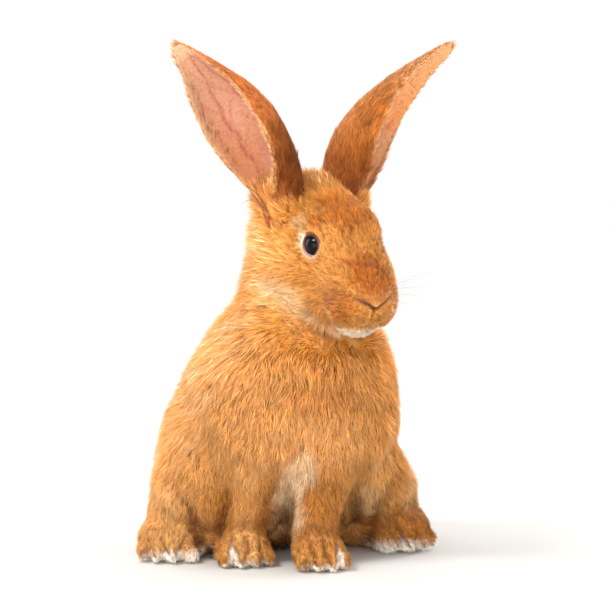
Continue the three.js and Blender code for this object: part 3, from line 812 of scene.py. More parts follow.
# The same spots, let down to the bottom of their groove.
def settled(spots, ways, tree):
    hits = [tree.ray_cast(Vector(p + w * mm), Vector(-w), 15 * mm)[0] for p, w in zip(spots, ways)]
    return np.array([p if hit is None else hit for p, hit in zip(spots, hits)])


# Grooves with raised lips, as a shift along the normals in mm.
def grooves(points, lines):
    shift = np.zeros(len(points))
    for (spots, ways), width, deep, shallow, lip in lines:
        apart, along = nearestIn(points, spots)
        shift -= (deep + (shallow - deep) * along) * np.exp(-((apart / width) ** 2))
        shift += lip * np.exp(-(((apart - 2.6 * width) / (1.2 * width)) ** 2))
    return shift


# How far swells and hollows move points along the normals, in mm: each has a place, three radii and a height.
def swells(points, forms):
    shift = np.zeros(len(points))
    for place, radii, height in forms:
        shift += height * np.exp(-(np.linalg.norm((points - np.array(place)) / radii, axis=1) ** 2))
    return shift


# Moves some points of a mesh along its normals, by the millimetres that shiftAt gives for them.
def moveOut(mesh, shiftAt, some=slice(None)):
    points, normals = pointsOf(mesh), normalsOf(mesh)
    points[some] += normals[some] * shiftAt(points[some])[:, None] * mm
    setPoints(mesh, points)


def sculptFace(mesh):
    refine(mesh, fromMuzzle(pointsOf(mesh)) < 19, 3)
    forms = [((s * x, y, z), *sizes) for s in (left, right) for (x, y, z), *sizes in faceForms]
    moveOut(mesh, lambda points: swells(inHead(points), forms))
    muzzle = fromMuzzle(pointsOf(mesh)) < 21
    relax(mesh, 3, muzzle.astype(float))
    tree = treeOf(mesh)
    lines = {name: (snapped(onHead(line), tree), *sizes) for name, (line, *sizes) in faceLines.items()}
    moveOut(mesh, lambda points: grooves(points, lines.values()), np.nonzero(muzzle)[0])
    return {name: line[0] for name, line in lines.items()}


# The creases between the toes, from low at the front up over the foot. The claws say where the toes are.
def toeLines(tree):
    lines = []
    for foot in legPlan:
        for side in sides:
            turn = footFrame(foot, side)[1]
            claws = [middleOf(f"claw_{foot}_{side}_{n}") for n in (1, 2, 3, 4)]
            for a, b in zip(claws[:-1], claws[1:]):
                path = [(a + b) / 2 + turn @ np.array(step) * mm for step in toeGroove["steps"]]
                lines.append(snapped(np.array(path), tree))
    return lines


def sculptToes(mesh):
    names = [f"claw_{foot}_{side}_{n}" for foot in legPlan for side in sides for n in (1, 2, 3, 4)]
    spots = np.array([middleOf(name) for name in names])
    refine(mesh, nearestIn(pointsOf(mesh), spots)[0] < 17, 1)
    near = nearestIn(pointsOf(mesh), spots)[0] < 20
    relax(mesh, 2, near.astype(float))
    lines = toeLines(treeOf(mesh))
    sizes = [toeGroove[key] for key in ("width", "deep", "shallow", "lip")]
    moveOut(mesh, lambda points: grooves(points, [(line, *sizes) for line in lines]), np.nonzero(near)[0])
    points = pointsOf(mesh)
    points[:, 2] = np.maximum(points[:, 2], 0.2 * mm)
    setPoints(mesh, points)
    return lines


# The folds between the legs and the trunk, in mm of the body's frame, each from its foot up, with the half
# width of its groove, the depth at its start and its end, and how far its sides swell.
bodyFolds = {
    "right foreleg": (
        [(-50, 52, 10), (-46, 45, 26), (-44, 38, 40), (-42, 30, 54), (-40, 20, 68)], 5, 5.5, 0.5, 1,
    ),
    "wedge": (
        [(1, 57, 14), (-1, 46, 28), (-3, 38, 42), (-4, 28, 56), (-6, 17, 70), (-8, 10, 80)], 7, 6, 0.5, 1,
    ),
    "left foreleg": (
        [(48, 62, 10), (47, 56, 20), (44.6, 48, 34), (42, 36, 49), (40, 18, 65)], 5.5, 6.5, 0.5, 1,
    ),
    "right thigh": (
        [(-53, 62, 8), (-60, 52, 25), (-65.4, 47.5, 38.7), (-71.4, 50, 51.4), (-77, 61, 61)], 5, 4.5, 0.5, 1,
    ),
    "left thigh": ([(60, 76, 3), (58, 54, 23), (61, 46, 37.5), (69, 46, 49), (77, 56, 58)], 5, 4.5, 0.5, 1),
}
foldTop = 125  # no fold reaches higher than this

# Swells and hollows of the body: a place, three radii and a height, in mm.
bodyForms = [
    ((70, 62, 88), (24, 34, 15), 4.5),  # left flank
    ((68, 58, 122), (24, 34, 14), -1.5),
    ((88, 70, 36), (20, 26, 14), 4.5),  # left shank
    ((-50, 36, 150), (20, 36, 18), -5.0),  # right side of the neck
    ((50, 8, 152), (20, 22, 14), 4.0),  # left side of the throat
    ((27, -2, 138), (13, 16, 11), 2.5),  # under the chin
]


def sculptBody(mesh):
    moveOut(mesh, lambda points: swells(inBody(points), bodyForms))
    tree = treeOf(mesh)
    lines = {name: (snapped(onBody(line), tree), *sizes) for name, (line, *sizes) in bodyFolds.items()}
    low = np.nonzero(inBody(pointsOf(mesh))[:, 2] < foldTop)[0]
    moveOut(mesh, lambda points: grooves(points, lines.values()), low)
    return {name: line[0] for name, line in lines.items()}


foldLines = sculptBody(skin.data)
faceMarks = sculptFace(skin.data)
toeMarks = sculptToes(skin.data)


# Sinks the skin under its coat.
def sinkSkin(mesh):
    points, normals = pointsOf(mesh), normalsOf(mesh)
    depth = coatAt(points)[1] * (0.2 + 0.8 * smoothStep(7, 15, fromEyes(points)))
    points -= normals * depth[:, None] * mm
    setPoints(mesh, points)
    relax(mesh, 2, smoothStep(18, 24, fromMuzzle(points)))


sinkSkin(skin.data)
skinTree = treeOf(skin.data)
faceSpots = {name: settled(*line, skinTree) for name, line in faceMarks.items()}
# The wedge between the forelegs stays pale, so its fold isn't shaded.
foldSpots = np.vstack([settled(*line, skinTree) for name, line in foldLines.items() if name != "wedge"])
toeSpots = np.vstack([settled(*line, skinTree) for line in toeMarks])
print("face worked and skin sunk under the coat:", len(skin.data.polygons), "faces")

# Eyes and lids, in mm. Each ball carries a shallow cornea, whose bulge fades over an angle in radians. The
# lids leave a round opening.
eyeSizes = {"radius": 8.4, "cornea": 0.35, "bulge": 0.62, "pupil": 4.2, "opening": 5.5, "lid": 0.75}


def makeEye(side):
    start, outward, front, up = eyeFrames[side]
    around, down = 56, 36
    behind = 20  # the gaze's value on the back of the ball, beyond any in front
    vertices, gaze = [], []
    for j in range(1, down):
        angle = math.pi * j / down
        bulge = eyeSizes["cornea"] * math.exp(-((angle / eyeSizes["bulge"]) ** 2))
        for i in range(around):
            turn = 2 * math.pi * i / around
            flat = math.cos(turn) * front + math.sin(turn) * up
            way = math.cos(angle) * outward + math.sin(angle) * flat
            vertices.append(start + (eyeSizes["radius"] + bulge) * mm * way)
            gaze.append(eyeSizes["radius"] * math.sin(angle) if angle < math.pi / 2 else behind)
    faces = []
    for j in range(down - 2):
        for i in range(around):
            k = (i + 1) % around
            faces.append((j * around + i, (j + 1) * around + i, (j + 1) * around + k, j * around + k))
    top, bottom = len(vertices), len(vertices) + 1
    vertices.append(start + (eyeSizes["radius"] + eyeSizes["cornea"]) * mm * outward)
    vertices.append(start - eyeSizes["radius"] * mm * outward)
    gaze += [0, behind]
    for i in range(around):
        k = (i + 1) % around
        faces.append((top, i, k))
        faces.append((bottom, (down - 2) * around + k, (down - 2) * around + i))
    eye = meshObject(f"eye{side.capitalize()}", vertices, faces, eyeMaterial)
    outwardFaces(eye.data)
    paint(eye.data, "gaze", np.array(gaze))
    finishPiece(eye, [f"eye_{side}"])


def outwardFaces(mesh):
    work = bmesh.new()
    work.from_mesh(mesh)
    bmesh.ops.recalc_face_normals(work, faces=work.faces)
    work.to_mesh(mesh)
    work.free()


# A tear film over a nearly black iris: a dark, wet ball with one small clear catchlight.
irisTones = {"pupil": "#070707", "dark": "#060302", "brown": "#140a06"}
eyeMaterial, tree, surface = newMaterial("wet cornea over a dark brown iris", {
    "Roughness": 0.04, "IOR": 1.38, "Specular IOR Level": 0.2,
})
gaze = addNode(tree, "ShaderNodeAttribute", attribute_name="gaze").outputs["Fac"]
spot = addNode(tree, "ShaderNodeTexCoord").outputs["Object"]
fibres = addNode(tree, "ShaderNodeTexNoise", {
    "Vector": spot, "Scale": 1 / (grains["iris"] * mm), "Detail": 3,
})
iris = addNode(tree, "ShaderNodeMix", {
    0: fibres.outputs["Fac"], 6: opaque(irisTones["dark"]), 7: opaque(irisTones["brown"]),
}, data_type="RGBA")
inPupil = addNode(tree, "ShaderNodeMapRange", {
    "Value": gaze, "From Min": eyeSizes["pupil"] - 0.4, "From Max": eyeSizes["pupil"] + 0.4,
}).outputs["Result"]
ball = addNode(tree, "ShaderNodeMix", {
    0: inPupil, 6: opaque(irisTones["pupil"]), 7: iris.outputs[2],
}, data_type="RGBA")
tree.links.new(ball.outputs[2], surface.inputs["Base Color"])

# Bare skin with fine wrinkles: a soft, faintly moist edge between the eye and the hair.
lidMaterial, tree, surface = newMaterial("moist eyelid skin", {
    "Roughness": 0.6, "Specular IOR Level": 0.2, "Subsurface Weight": 0.15, "Subsurface Scale": 1.0 * mm,
})
tone = addNode(tree, "ShaderNodeAttribute", attribute_name="tone").outputs["Color"]
tree.links.new(tone, surface.inputs["Base Color"])
spot = addNode(tree, "ShaderNodeTexCoord").outputs["Object"]
wrinkles = addNode(tree, "ShaderNodeTexNoise", {
    "Vector": spot, "Scale": 1 / (grains["lid"] * mm), "Detail": 3,
})
bump = addNode(tree, "ShaderNodeBump", {
    "Height": wrinkles.outputs["Fac"], "Strength": 0.35, "Distance": 0.15 * mm,
})
tree.links.new(bump.outputs["Normal"], surface.inputs["Normal"])


# 1 at the middle angle, and less the further round from it, in degrees.
def bell(angle, middle, spread):
    apart = (angle - middle + 180) % 360 - 180
    return math.exp(-((apart / spread) ** 2))


# Angles run round the eye from its front over its top. The corners are each at an angle, with their spread.
frontCorner, rearCorner = (322, 16), (165, 22)
lidTones = {"dark": "#1c0c07", "brown": "#4a2216", "fold": "#6b3a1e", "pink": "#d8aaa0"}


# One spoke of the lids, from the ball outwards. Each row is how far it lies off the eye's axis, how far
# along the axis, and its tone. None stands for the height of the skin there, and for the coat's own tone.
def lidRows(angle):
    ball, lid = eyeSizes["radius"], eyeSizes["lid"]
    dark, brown, fold, pink = (colourOf(code) for code in lidTones.values())
    corner, upper = bell(angle, *frontCorner), bell(angle, 100, 70)
    opening = eyeSizes["opening"] + 0.9 * corner + 0.4 * bell(angle, *rearCorner)
    opening -= 0.5 * bell(angle, 90, 45)
    height = math.sqrt(ball ** 2 - opening ** 2)
    low = max(corner, 0.55 * bell(angle, 270, 50))
    over = lid * (0.8 + 0.45 * upper)
    rim = dark * upper + brown * (1 - upper)
    rim = rim + (pink - rim) * 0.8 * low
    outer = rim + (fold - rim) * 0.35 * upper + (pink - rim) * 0.3 * (1 - upper)
    rows = [
        (opening - 0.5, math.sqrt(ball ** 2 - (opening - 0.5) ** 2) - 0.5, dark),
        (opening - 0.05, height + 0.15, dark),
        (opening + 0.2, height + 0.6 * over, rim),
        (opening + 0.75, height + over, rim),
        (opening + 1.4 + 0.3 * upper, height + 0.8 * over, outer),
        (opening + 2.2 + 0.5 * upper, None, fold if upper > 0.5 else None),
        (opening + 3.4 + 0.5 * upper, None, None),
        (opening + 4.8 + 0.3 * upper, None, None),
    ]
    return rows, height, over


# Both lids of an eye as one ring: from under the ball's surface, round the rim and out under the coat.
def makeLids(side):
    start, outward, front, up = eyeFrames[side]
    around = 72
    vertices, tone = [], []
    dark, own = colourOf(lidTones["dark"]), np.full(3, np.nan)  # own stands for the coat's tone
    overSkin = (0.45, 0.25, -0.7)  # mm that the last three rows lie above the skin
    for i in range(around):
        angle = 360 * i / around
        flat = math.cos(math.radians(angle)) * front + math.sin(math.radians(angle)) * up
        rows, height, over = lidRows(angle)
        for n, (reach, rise, colour) in enumerate(rows):
            spot = start + flat * reach * mm
            if rise is None:
                hit = skinTree.ray_cast(Vector(spot + outward * 30 * mm), Vector(-outward))[0]
                ground = (np.array(hit) - start) @ outward / mm if hit else height
                rise = ground + overSkin[n - 5]
                if n == 5:
                    rise = 0.5 * rise + 0.5 * (height + 0.3 * over)
            vertices.append(spot + outward * rise * mm)
            tone.append(own if colour is None else colour)
    count = len(rows)
    faces = []
    for i in range(around):
        k = (i + 1) % around
        for n in range(count - 1):
            faces.append((i * count + n, k * count + n, k * count + n + 1, i * count + n + 1))
    for n in (0, count - 1):  # a wall down into the head, so that the ring is a closed body
        base = len(vertices)
        for i in range(around):
            vertices.append(vertices[i * count + n] - outward * (0.8 if n == 0 else 1.2) * mm)
            tone.append(dark if n == 0 else own)
        for i in range(around):
            k = (i + 1) % around
            faces.append((i * count + n, base + i, base + k, k * count + n))
    inner, outer = len(vertices) - 2 * around, len(vertices) - around
    for i in range(around):
        k = (i + 1) % around
        faces.append((inner + i, outer + i, outer + k, inner + k))
    lids = meshObject(f"lids{side.capitalize()}", vertices, faces, lidMaterial)
    outwardFaces(lids.data)
    # Where the lids take the coat's tone it is darkened to 0.7: painted shade, as dark as hair that shades
    # itself.
    paint(lids.data, "tone", np.where(np.isnan(tone), 0.7 * toneAt(np.array(vertices)), tone))
    smooth = lids.modifiers.new("smooth", "SUBSURF")
    smooth.levels = smooth.render_levels = 2
    applyModifiers(lids)
    finishPiece(lids, [])
    return lids


def applyModifiers(piece):
    evaluated = piece.evaluated_get(bpy.context.evaluated_depsgraph_get())
    finished = bpy.data.meshes.new_from_object(evaluated)
    piece.modifiers.clear()
    finished.name = piece.name
    piece.data = finished


for side in sides:
    makeEye(side)
lidPieces = [makeLids(side) for side in sides]
print("eyes and lids made")

# The ears. The main veins of the cup, as lines of (across, along) and a width in mm.
earVeins = [
    ([(-0.05, 0.1), (-0.02, 0.35), (0.03, 0.6), (0.0, 0.8), (0.02, 0.93)], 0.9),
    ([(0.45, 0.15), (0.5, 0.35), (0.5, 0.55), (0.38, 0.78), (0.2, 0.9)], 0.75),
    ([(-0.45, 0.15), (-0.5, 0.35), (-0.5, 0.55), (-0.38, 0.78), (-0.2, 0.9)], 0.7),
]


# The veins of the cup with their side branches, as lines and widths.
def veinLines():
    rng = np.random.default_rng(3)
    lines = []
    for line, width in earVeins:
        line = np.array(line)
        steps = [a + (b - a) * t / 12 for a, b in zip(line[:-1], line[1:]) for t in range(1, 13)]
        dense = np.array([line[0], *steps])
        dense[:, 0] += 0.03 * np.sin(dense[:, 1] * 34 + rng.uniform(0, 6))
        lines.append((dense, width))
        for n, start in enumerate(range(8, len(dense) - 6, 5)):
            way = 1 if n % 2 else -1
            branch = [dense[start]]
            for step in range(12):
                stride = np.array((way * (0.022 + 0.01 * rng.uniform()), 0.012))
                branch.append(branch[-1] + stride * (1 - 0.03 * step))
            lines.append((np.array(branch), 0.5 * width))
    return lines


# How strongly the veins show at some places of the cup, from 0 to 1.
def veinsAt(share, across):
    strength = np.zeros(len(share))
    scale = np.array((38, 118))  # millimetres for 1 across and 1 along
    spots = np.stack([across, share], 1) * scale
    for line, width in veinLines():
        apart = np.full(len(share), 99.0)
        for spot in line * scale:
            apart = np.minimum(apart, np.linalg.norm(spots - spot, axis=1))
        full = 0.5 + 0.5 * min(width, 0.75) / 0.75
        strength = np.maximum(strength, full * np.exp(-((apart / (1.5 * width)) ** 2)))
    return strength


earTones = {
    "cup": "#d6997c", "cupTop": "#c58e69", "cupLow": "#c0783f", "vein": "#a8423f", "band": "#f8dac4",
    "edge": "#f0c79a", "rim": "#ecc49a", "crease": "#6d3a30", "lilac": "#b98f98", "foot": "#dd9550",
}


# The colour of an ear at shares of its length, places across it, and inside the cup (1) or on the back (0).
def earToneAt(share, across, inside, side):
    own = ears[side]
    outer = -sides[side] * across  # 1 at the outer edge of the ear, -1 at the inner one
    toRim = np.abs(across)
    tone = {name: colourOf(code) for name, code in earTones.items()}
    tone.update(zip(("base", "back", "tip"), (colourOf(code) for code in own["back"])))
    middle = smoothStep(0.75, 0.45, toRim)
    back = [
        (1 - smoothStep(*own["base"], share), "base"),
        (0.85 * smoothStep(*own["tip"], share), "tip"),
        (own["pale"] * smoothStep(-0.75, -0.3, outer) * smoothStep(0.1, 0.4, share), "tip"),
    ]
    cup = [
        (0.8 * smoothStep(0.45, 0.8, share), "cupTop"),
        (0.75 * (1 - smoothStep(0.25, 0.5, share)) * smoothStep(-0.5, 0, outer), "cupLow"),
        (0.85 * smoothStep(-0.2 - 0.3 * share, -0.7 - 0.1 * share, outer), "band"),
        (0.5 * smoothStep(0.2, 0.9, outer) * smoothStep(0.8, 0.3, share), "cupLow"),
        (own["paleEdge"] * smoothStep(0, 0.5, outer), "edge"),
        (0.9 * veinsAt(share, across) * smoothStep(1, 0.6, toRim), "vein"),
        (0.6 * np.exp(-(((outer - 0.1) / 0.14) ** 2)) * smoothStep(0.4, 0.12, share), "lilac"),
        (0.85 * (1 - smoothStep(0.04, 0.16, share)) * middle, "crease"),
        (0.8 * smoothStep(0.8, 0.98, toRim), "rim"),
        (0.8 * smoothStep(0.9, 0.97, share), "rim"),
        ((1 - smoothStep(0.0, 0.1, share)) * (1 - middle), "foot"),
        (0.95 * smoothStep(*own["furred"], share), "tip"),
    ]

    def layered(name, layers):
        colour = np.tile(tone[name], (len(share), 1))
        for cover, other in layers:
            colour = colour * (1 - cover[:, None]) + tone[other] * cover[:, None]
        return colour

    return layered("back", back) * (1 - inside[:, None]) + layered("cup", cup) * inside[:, None]


# Thin skin with down on it: a soft, velvety sheen, light glowing through it, and fine red vessels inside.
earMaterial, tree, surface = newMaterial("ear skin with downy hair", {
    "Roughness": 0.6, "Subsurface Weight": 0.2, "Subsurface Scale": 2 * mm, "Sheen Weight": 0.25,
})
tone = addNode(tree, "ShaderNodeAttribute", attribute_name="tone").outputs["Color"]
spot = addNode(tree, "ShaderNodeTexCoord").outputs["Object"]
down = addNode(tree, "ShaderNodeTexNoise", {
    "Vector": spot, "Scale": 1 / (grains["down"] * mm), "Detail": 4, "Roughness": 0.6,
})
capillaries = addNode(tree, "ShaderNodeTexNoise", {
    "Vector": spot, "Scale": 1 / (grains["vessels"] * mm), "Detail": 5, "Roughness": 0.55,
}).outputs["Fac"]
ridge = addNode(tree, "ShaderNodeMath", {0: capillaries, 1: 0.5}, operation="SUBTRACT").outputs["Value"]
ridge = addNode(tree, "ShaderNodeMath", {0: ridge}, operation="ABSOLUTE").outputs["Value"]
ridge = addNode(tree, "ShaderNodeMapRange", {"Value": ridge, "From Max": 0.03, "To Min": 0.3, "To Max": 0})
inside = addNode(tree, "ShaderNodeAttribute", attribute_name="inside").outputs["Fac"]
ridge = addNode(tree, "ShaderNodeMath", {0: ridge.outputs["Result"], 1: inside}, operation="MULTIPLY")
veined = addNode(tree, "ShaderNodeMix", {
    0: ridge.outputs["Value"], 6: tone, 7: opaque(earTones["vein"]),
}, data_type="RGBA")
speckle = addNode(tree, "ShaderNodeMapRange", {
    "Value": down.outputs["Fac"], "From Min": 0.3, "From Max": 0.7, "To Min": 0.86, "To Max": 1.12,
})
grey = addNode(tree, "ShaderNodeCombineColor", {
    channel: speckle.outputs["Result"] for channel in ("Red", "Green", "Blue")
})
colour = addNode(tree, "ShaderNodeMix", {
    0: 1.0, 6: veined.outputs[2], 7: grey.outputs["Color"],
}, data_type="RGBA", blend_type="MULTIPLY")
tree.links.new(colour.outputs[2], surface.inputs["Base Color"])
bump = addNode(tree, "ShaderNodeBump", {"Height": down.outputs["Fac"], "Strength": 0.4, "Distance": 0.2 * mm})
tree.links.new(bump.outputs["Normal"], surface.inputs["Normal"])


def makeEar(side):
    rings, half = 150, 52
    loop = np.arange(2 * half)
    turn = math.pi * loop / half
    across = np.cos(turn) * (1 - 0.02 * np.sin(turn) ** 2)
    inner = (loop > 0) & (loop < half)
    wall = np.abs(np.sin(turn)) ** 0.35  # rounds the rim
    alongAll = np.repeat(np.linspace(0, 1, rings + 1), 2 * half)
    acrossAll = np.tile(across, rings + 1)
    insideAll = np.tile(inner.astype(float), rings + 1)
    off = halfWall(alongAll, acrossAll) * np.tile(wall, rings + 1) * np.where(insideAll > 0, -1, 1)
    share = throughStations(earShares, alongAll)
    veins = veinsAt(share, acrossAll) * insideAll
    points, out, tangent = earPoint(side, alongAll, acrossAll, off - 0.18 * veins)
    faces = []
    n = 2 * half
    for i in range(rings):
        for j in range(n):
            k = (j + 1) % n
            faces.append((i * n + j, i * n + k, (i + 1) * n + k, (i + 1) * n + j))
    faces.append(tuple(range(n)))
    faces.append(tuple(range(rings * n, rings * n + n)))
    ear = meshObject(f"ear{side.capitalize()}", points, faces, earMaterial)
    outwardFaces(ear.data)
    paint(ear.data, "tone", earToneAt(share, acrossAll, insideAll, side))
    paint(ear.data, "inside", insideAll)
    finishPiece(ear, [f"ear_{side}"])
    return ear, np.column_stack([share, acrossAll, insideAll, tangent])


earPieces = {side: makeEar(side) for side in sides}
print("ears made")

# The coat. A tuft is a closed three-sided blade: its root lies in the skin, it leans with the lie and it
# ends in a point. A long one bends once on the way. Its broad side faces out.
coat = {
    "seed": 7,
    "turn": 7,  # degrees that one tuft strays from the lie
    "sway": 17,  # degrees that whole stretches of the coat stray
    "lock": {"tufts": 6, "turn": 11, "pull": 0.42},  # tufts that lean together, and how far their tips meet
    # tufts a square millimetre
    "dense": {"muzzle": 7.5, "face": 3.5, "body": 1.75, "back": 1.15, "feet": 3.3, "under": 0.5},
    "spread": 0.0015,  # half the patch of one tuft on the coat's map
    "sunk": 0.35,  # mm that a root lies under the skin
    "ridge": 0.38,  # height of a tuft's ridge, as a share of its width
    "clear": 0.15,  # mm that every tuft keeps off the floor
}
bladeFaces = np.array([
    (0, 1, 2), (0, 3, 4), (0, 4, 1), (0, 2, 5), (0, 5, 3),
    (1, 4, 5), (1, 5, 2), (3, 6, 4), (3, 5, 6), (4, 6, 5),
])
spikeFaces = np.array([(0, 1, 2), (0, 3, 1), (0, 2, 3), (1, 3, 2)])


def trianglesOf(mesh):
    mesh.calc_loop_triangles()
    corners = np.zeros(len(mesh.loop_triangles) * 3, np.int32)
    mesh.loop_triangles.foreach_get("vertices", corners)
    return corners.reshape(-1, 3)


# Roots spread over a mesh at random, at so many a square millimetre as densityAt gives.
def scatter(mesh, densityAt, rng):
    points, normals, corners = pointsOf(mesh), normalsOf(mesh), trianglesOf(mesh)
    a, b, c = (points[corners[:, n]] for n in range(3))
    area = np.linalg.norm(np.cross(b - a, c - a), axis=1) / 2 / mm ** 2
    middle = (a + b + c) / 3
    expected = area * densityAt(middle)
    count = np.floor(expected + rng.random(len(area))).astype(int)
    face = np.repeat(np.arange(len(area)), count)
    u, v = rng.random((2, len(face)))
    over = u + v > 1
    u[over], v[over] = 1 - u[over], 1 - v[over]
    share = np.stack([1 - u - v, u, v], 1)[:, :, None]
    roots = (points[corners[face]] * share).sum(1)
    ways = unit((normals[corners[face]] * share).sum(1))
    return roots, ways, face, share[:, :, 0]


# An unwrap of a thinned copy of a mesh, which gives the place on it of any point nearby.
def unwrapOf(mesh, name):
    copy = bpy.data.objects.new(name, mesh.copy())
    bpy.context.scene.collection.objects.link(copy)
    thin = copy.modifiers.new("thin", "DECIMATE")
    thin.ratio = min(1, 9000 / len(trianglesOf(mesh)))
    applyModifiers(copy)
    bpy.ops.object.select_all(action="DESELECT")
    bpy.context.view_layer.objects.active = copy
    copy.select_set(True)
    bpy.ops.object.mode_set(mode="EDIT")
    bpy.ops.mesh.select_all(action="SELECT")
    bpy.ops.uv.smart_project(angle_limit=math.radians(66), island_margin=0.003)
    bpy.ops.object.mode_set(mode="OBJECT")
    thinned = copy.data
    corners = trianglesOf(thinned)
    loops = np.zeros(len(thinned.loop_triangles) * 3, np.int32)
    thinned.loop_triangles.foreach_get("loops", loops)
    flat = np.zeros(len(thinned.loops) * 2)
    thinned.uv_layers.active.data.foreach_get("uv", flat)
    flat = flat.reshape(-1, 2)[loops.reshape(-1, 3)]
    points = pointsOf(thinned)
    bpy.data.objects.remove(copy)
    tree = BVHTree.FromPolygons([Vector(p) for p in points], [tuple(t) for t in corners.tolist()])

    def flatPlace(places):
        found = [tree.find_nearest(Vector(p)) for p in places]
        face = np.array([f[2] for f in found])
        spots = np.array([f[0] for f in found])
        a, b, c = (points[corners[face, n]] for n in range(3))
        ab, ac, at = b - a, c - a, spots - a
        d00, d01, d11 = (ab * ab).sum(1), (ab * ac).sum(1), (ac * ac).sum(1)
        d20, d21 = (at * ab).sum(1), (at * ac).sum(1)
        under = np.maximum(d00 * d11 - d01 * d01, 1e-30)
        v, w = (d11 * d20 - d01 * d21) / under, (d00 * d21 - d01 * d20) / under
        weights = np.clip(np.stack([1 - v - w, v, w], 1), 0, 1)
        return (flat[face] * weights[:, :, None]).sum(1)

    return flatPlace


# Gathers tufts in locks. For each root: the place of its lock's heart, and the lock's number.
def locksOf(roots, width, rng):
    share = width ** 2 / (width ** 2).sum()  # so that locks are no smaller where the tufts are
    hearts = rng.choice(len(roots), max(1, len(roots) // coat["lock"]["tufts"]), replace=False, p=share)
    tree = KDTree(len(hearts))
    for number, root in enumerate(roots[hearts].tolist()):
        tree.insert(root, number)
    tree.balance()
    lock = np.array([tree.find(root)[1] for root in roots.tolist()])
    return roots[hearts][lock], lock


pieceLimit = 199000  # faces that one piece of the coat has at most


# One mesh of tufts, from the corners of each, its tone, its luck and its place on the coat's map. Shape
# holds how far along the tuft each corner is, on which side of it, and its faces.
def tuftMesh(name, corners, tone, luck, flat, shape, material):
    alongs, across, template = shape
    count, perTuft = corners.shape[:2]
    faces = (template[None] + (perTuft * np.arange(count))[:, None, None]).reshape(-1, 3)
    mesh = bpy.data.meshes.new(name)
    mesh.vertices.add(count * perTuft)
    mesh.vertices.foreach_set("co", corners.ravel())
    mesh.loops.add(faces.size)
    mesh.loops.foreach_set("vertex_index", faces.ravel().astype(np.int32))
    mesh.polygons.add(len(faces))
    mesh.polygons.foreach_set("loop_start", np.arange(0, faces.size, 3, dtype=np.int32))
    mesh.polygons.foreach_set("use_smooth", np.ones(len(faces), bool))
    mesh.update(calc_edges=True)
    paint(mesh, "tone", np.repeat(tone, perTuft, axis=0))
    # The strand's third part is the blue of the tone, by which the material paints pale tufts brighter:
    # painted light.
    strand = [np.tile(alongs, count), np.repeat(luck, perTuft), np.repeat(tone[:, 2], perTuft)]
    paint(mesh, "strand", np.stack(strand, 1))
    spots = flat[:, None, :] + coat["spread"] * np.stack([across, 2 * alongs - 1], 1)[None]
    uv = mesh.uv_layers.new(name="OFBake")
    uv.data.foreach_set("uv", spots.reshape(-1, 2)[faces.ravel()].ravel())
    mesh.materials.append(material)
    return mesh


# Blades or spikes from arrays of roots, in as many pieces as they need. The roots are mixed over the whole
# region, so that each piece covers it thinly.
def growTufts(name, hairs, flatPlace, bent, material, rng):
    roots, normals, tone, depth = (hairs[key] for key in ("roots", "normals", "tone", "depth"))
    count = len(roots)
    side = unit(np.cross(normals, hairs["lies"]))
    along = np.cross(side, normals)
    heart, lock = locksOf(roots, hairs["width"], rng)
    lockTurn, lockLength, lockLean, lockLuck = rng.normal(size=(4, count))[:, lock]
    stray = rng.normal(0, coat["turn"], count) + coat["lock"]["turn"] * lockTurn
    stray = np.radians(stray + coat["sway"] * wave(roots, 20, 21))
    way = along * np.cos(stray)[:, None] + side * np.sin(stray)[:, None]
    side = unit(np.cross(normals, way))
    length = hairs["length"] * rng.uniform(0.7, 1.25, count) * (1 + 0.14 * np.clip(lockLength, -2, 2))
    width = hairs["width"] * rng.uniform(0.75, 1.25, count)
    lean = np.arcsin(np.clip(depth / length, 0.06, 0.62))
    lean = np.clip(lean * (1 + 0.2 * rng.normal(size=count) + 0.26 * lockLean), 0.02, 1.2)
    meet = coat["lock"]["pull"] * (heart - roots)
    meet = meet - normals * (meet * normals).sum(1)[:, None]

    def step(angle, reach):
        return (way * np.cos(angle)[:, None] + normals * np.sin(angle)[:, None]) * (reach * mm)[:, None]

    base = roots - normals * coat["sunk"] * mm
    half = side * (width * mm / 2)[:, None]
    ridge = normals * (width * mm * coat["ridge"])[:, None]
    if bent:
        bend = base + step(1.45 * lean, 0.5 * length) + 0.4 * meet
        tip = bend + step(0.5 * lean, 0.5 * length) + 0.6 * meet
        corners = [base + 0.8 * half, base - 0.8 * half, base + ridge]
        corners += [bend + half, bend - half, bend + ridge, tip]
        shape = np.array([0, 0, 0, 0.5, 0.5, 0.5, 1]), np.array([-1, 1, 0, -1, 1, 0, 0]), bladeFaces
    else:
        tip = base + step(1.15 * lean, length) + meet
        corners = [base + half, base - half, base + ridge, tip]
        shape = np.array([0, 0, 0, 1]), np.array([-1, 1, 0, 0]), spikeFaces
    corners = np.stack(corners, 1)
    corners[:, :, 2] = np.maximum(corners[:, :, 2], coat["clear"] * mm)
    flat = flatPlace(roots)
    shared = np.where(depth < 1.35, 0.32, 0.2)  # the shortest coat differs more from lock to lock
    luck = np.clip(0.5 + shared * lockLuck + 0.24 * rng.normal(size=count), 0, 1)
    order = rng.permutation(count)
    pieces = math.ceil(count / (pieceLimit // len(shape[2])))
    for n in range(pieces):
        some = order[n::pieces]
        mesh = tuftMesh(f"{name}{n + 1}", corners[some], tone[some], luck[some], flat[some], shape, material)
        piece = bpy.data.objects.new(mesh.name, mesh)
        bpy.context.scene.collection.objects.link(piece)
        finishPiece(piece, [])
    print(f"{name}: {count} tufts in {pieces} pieces")


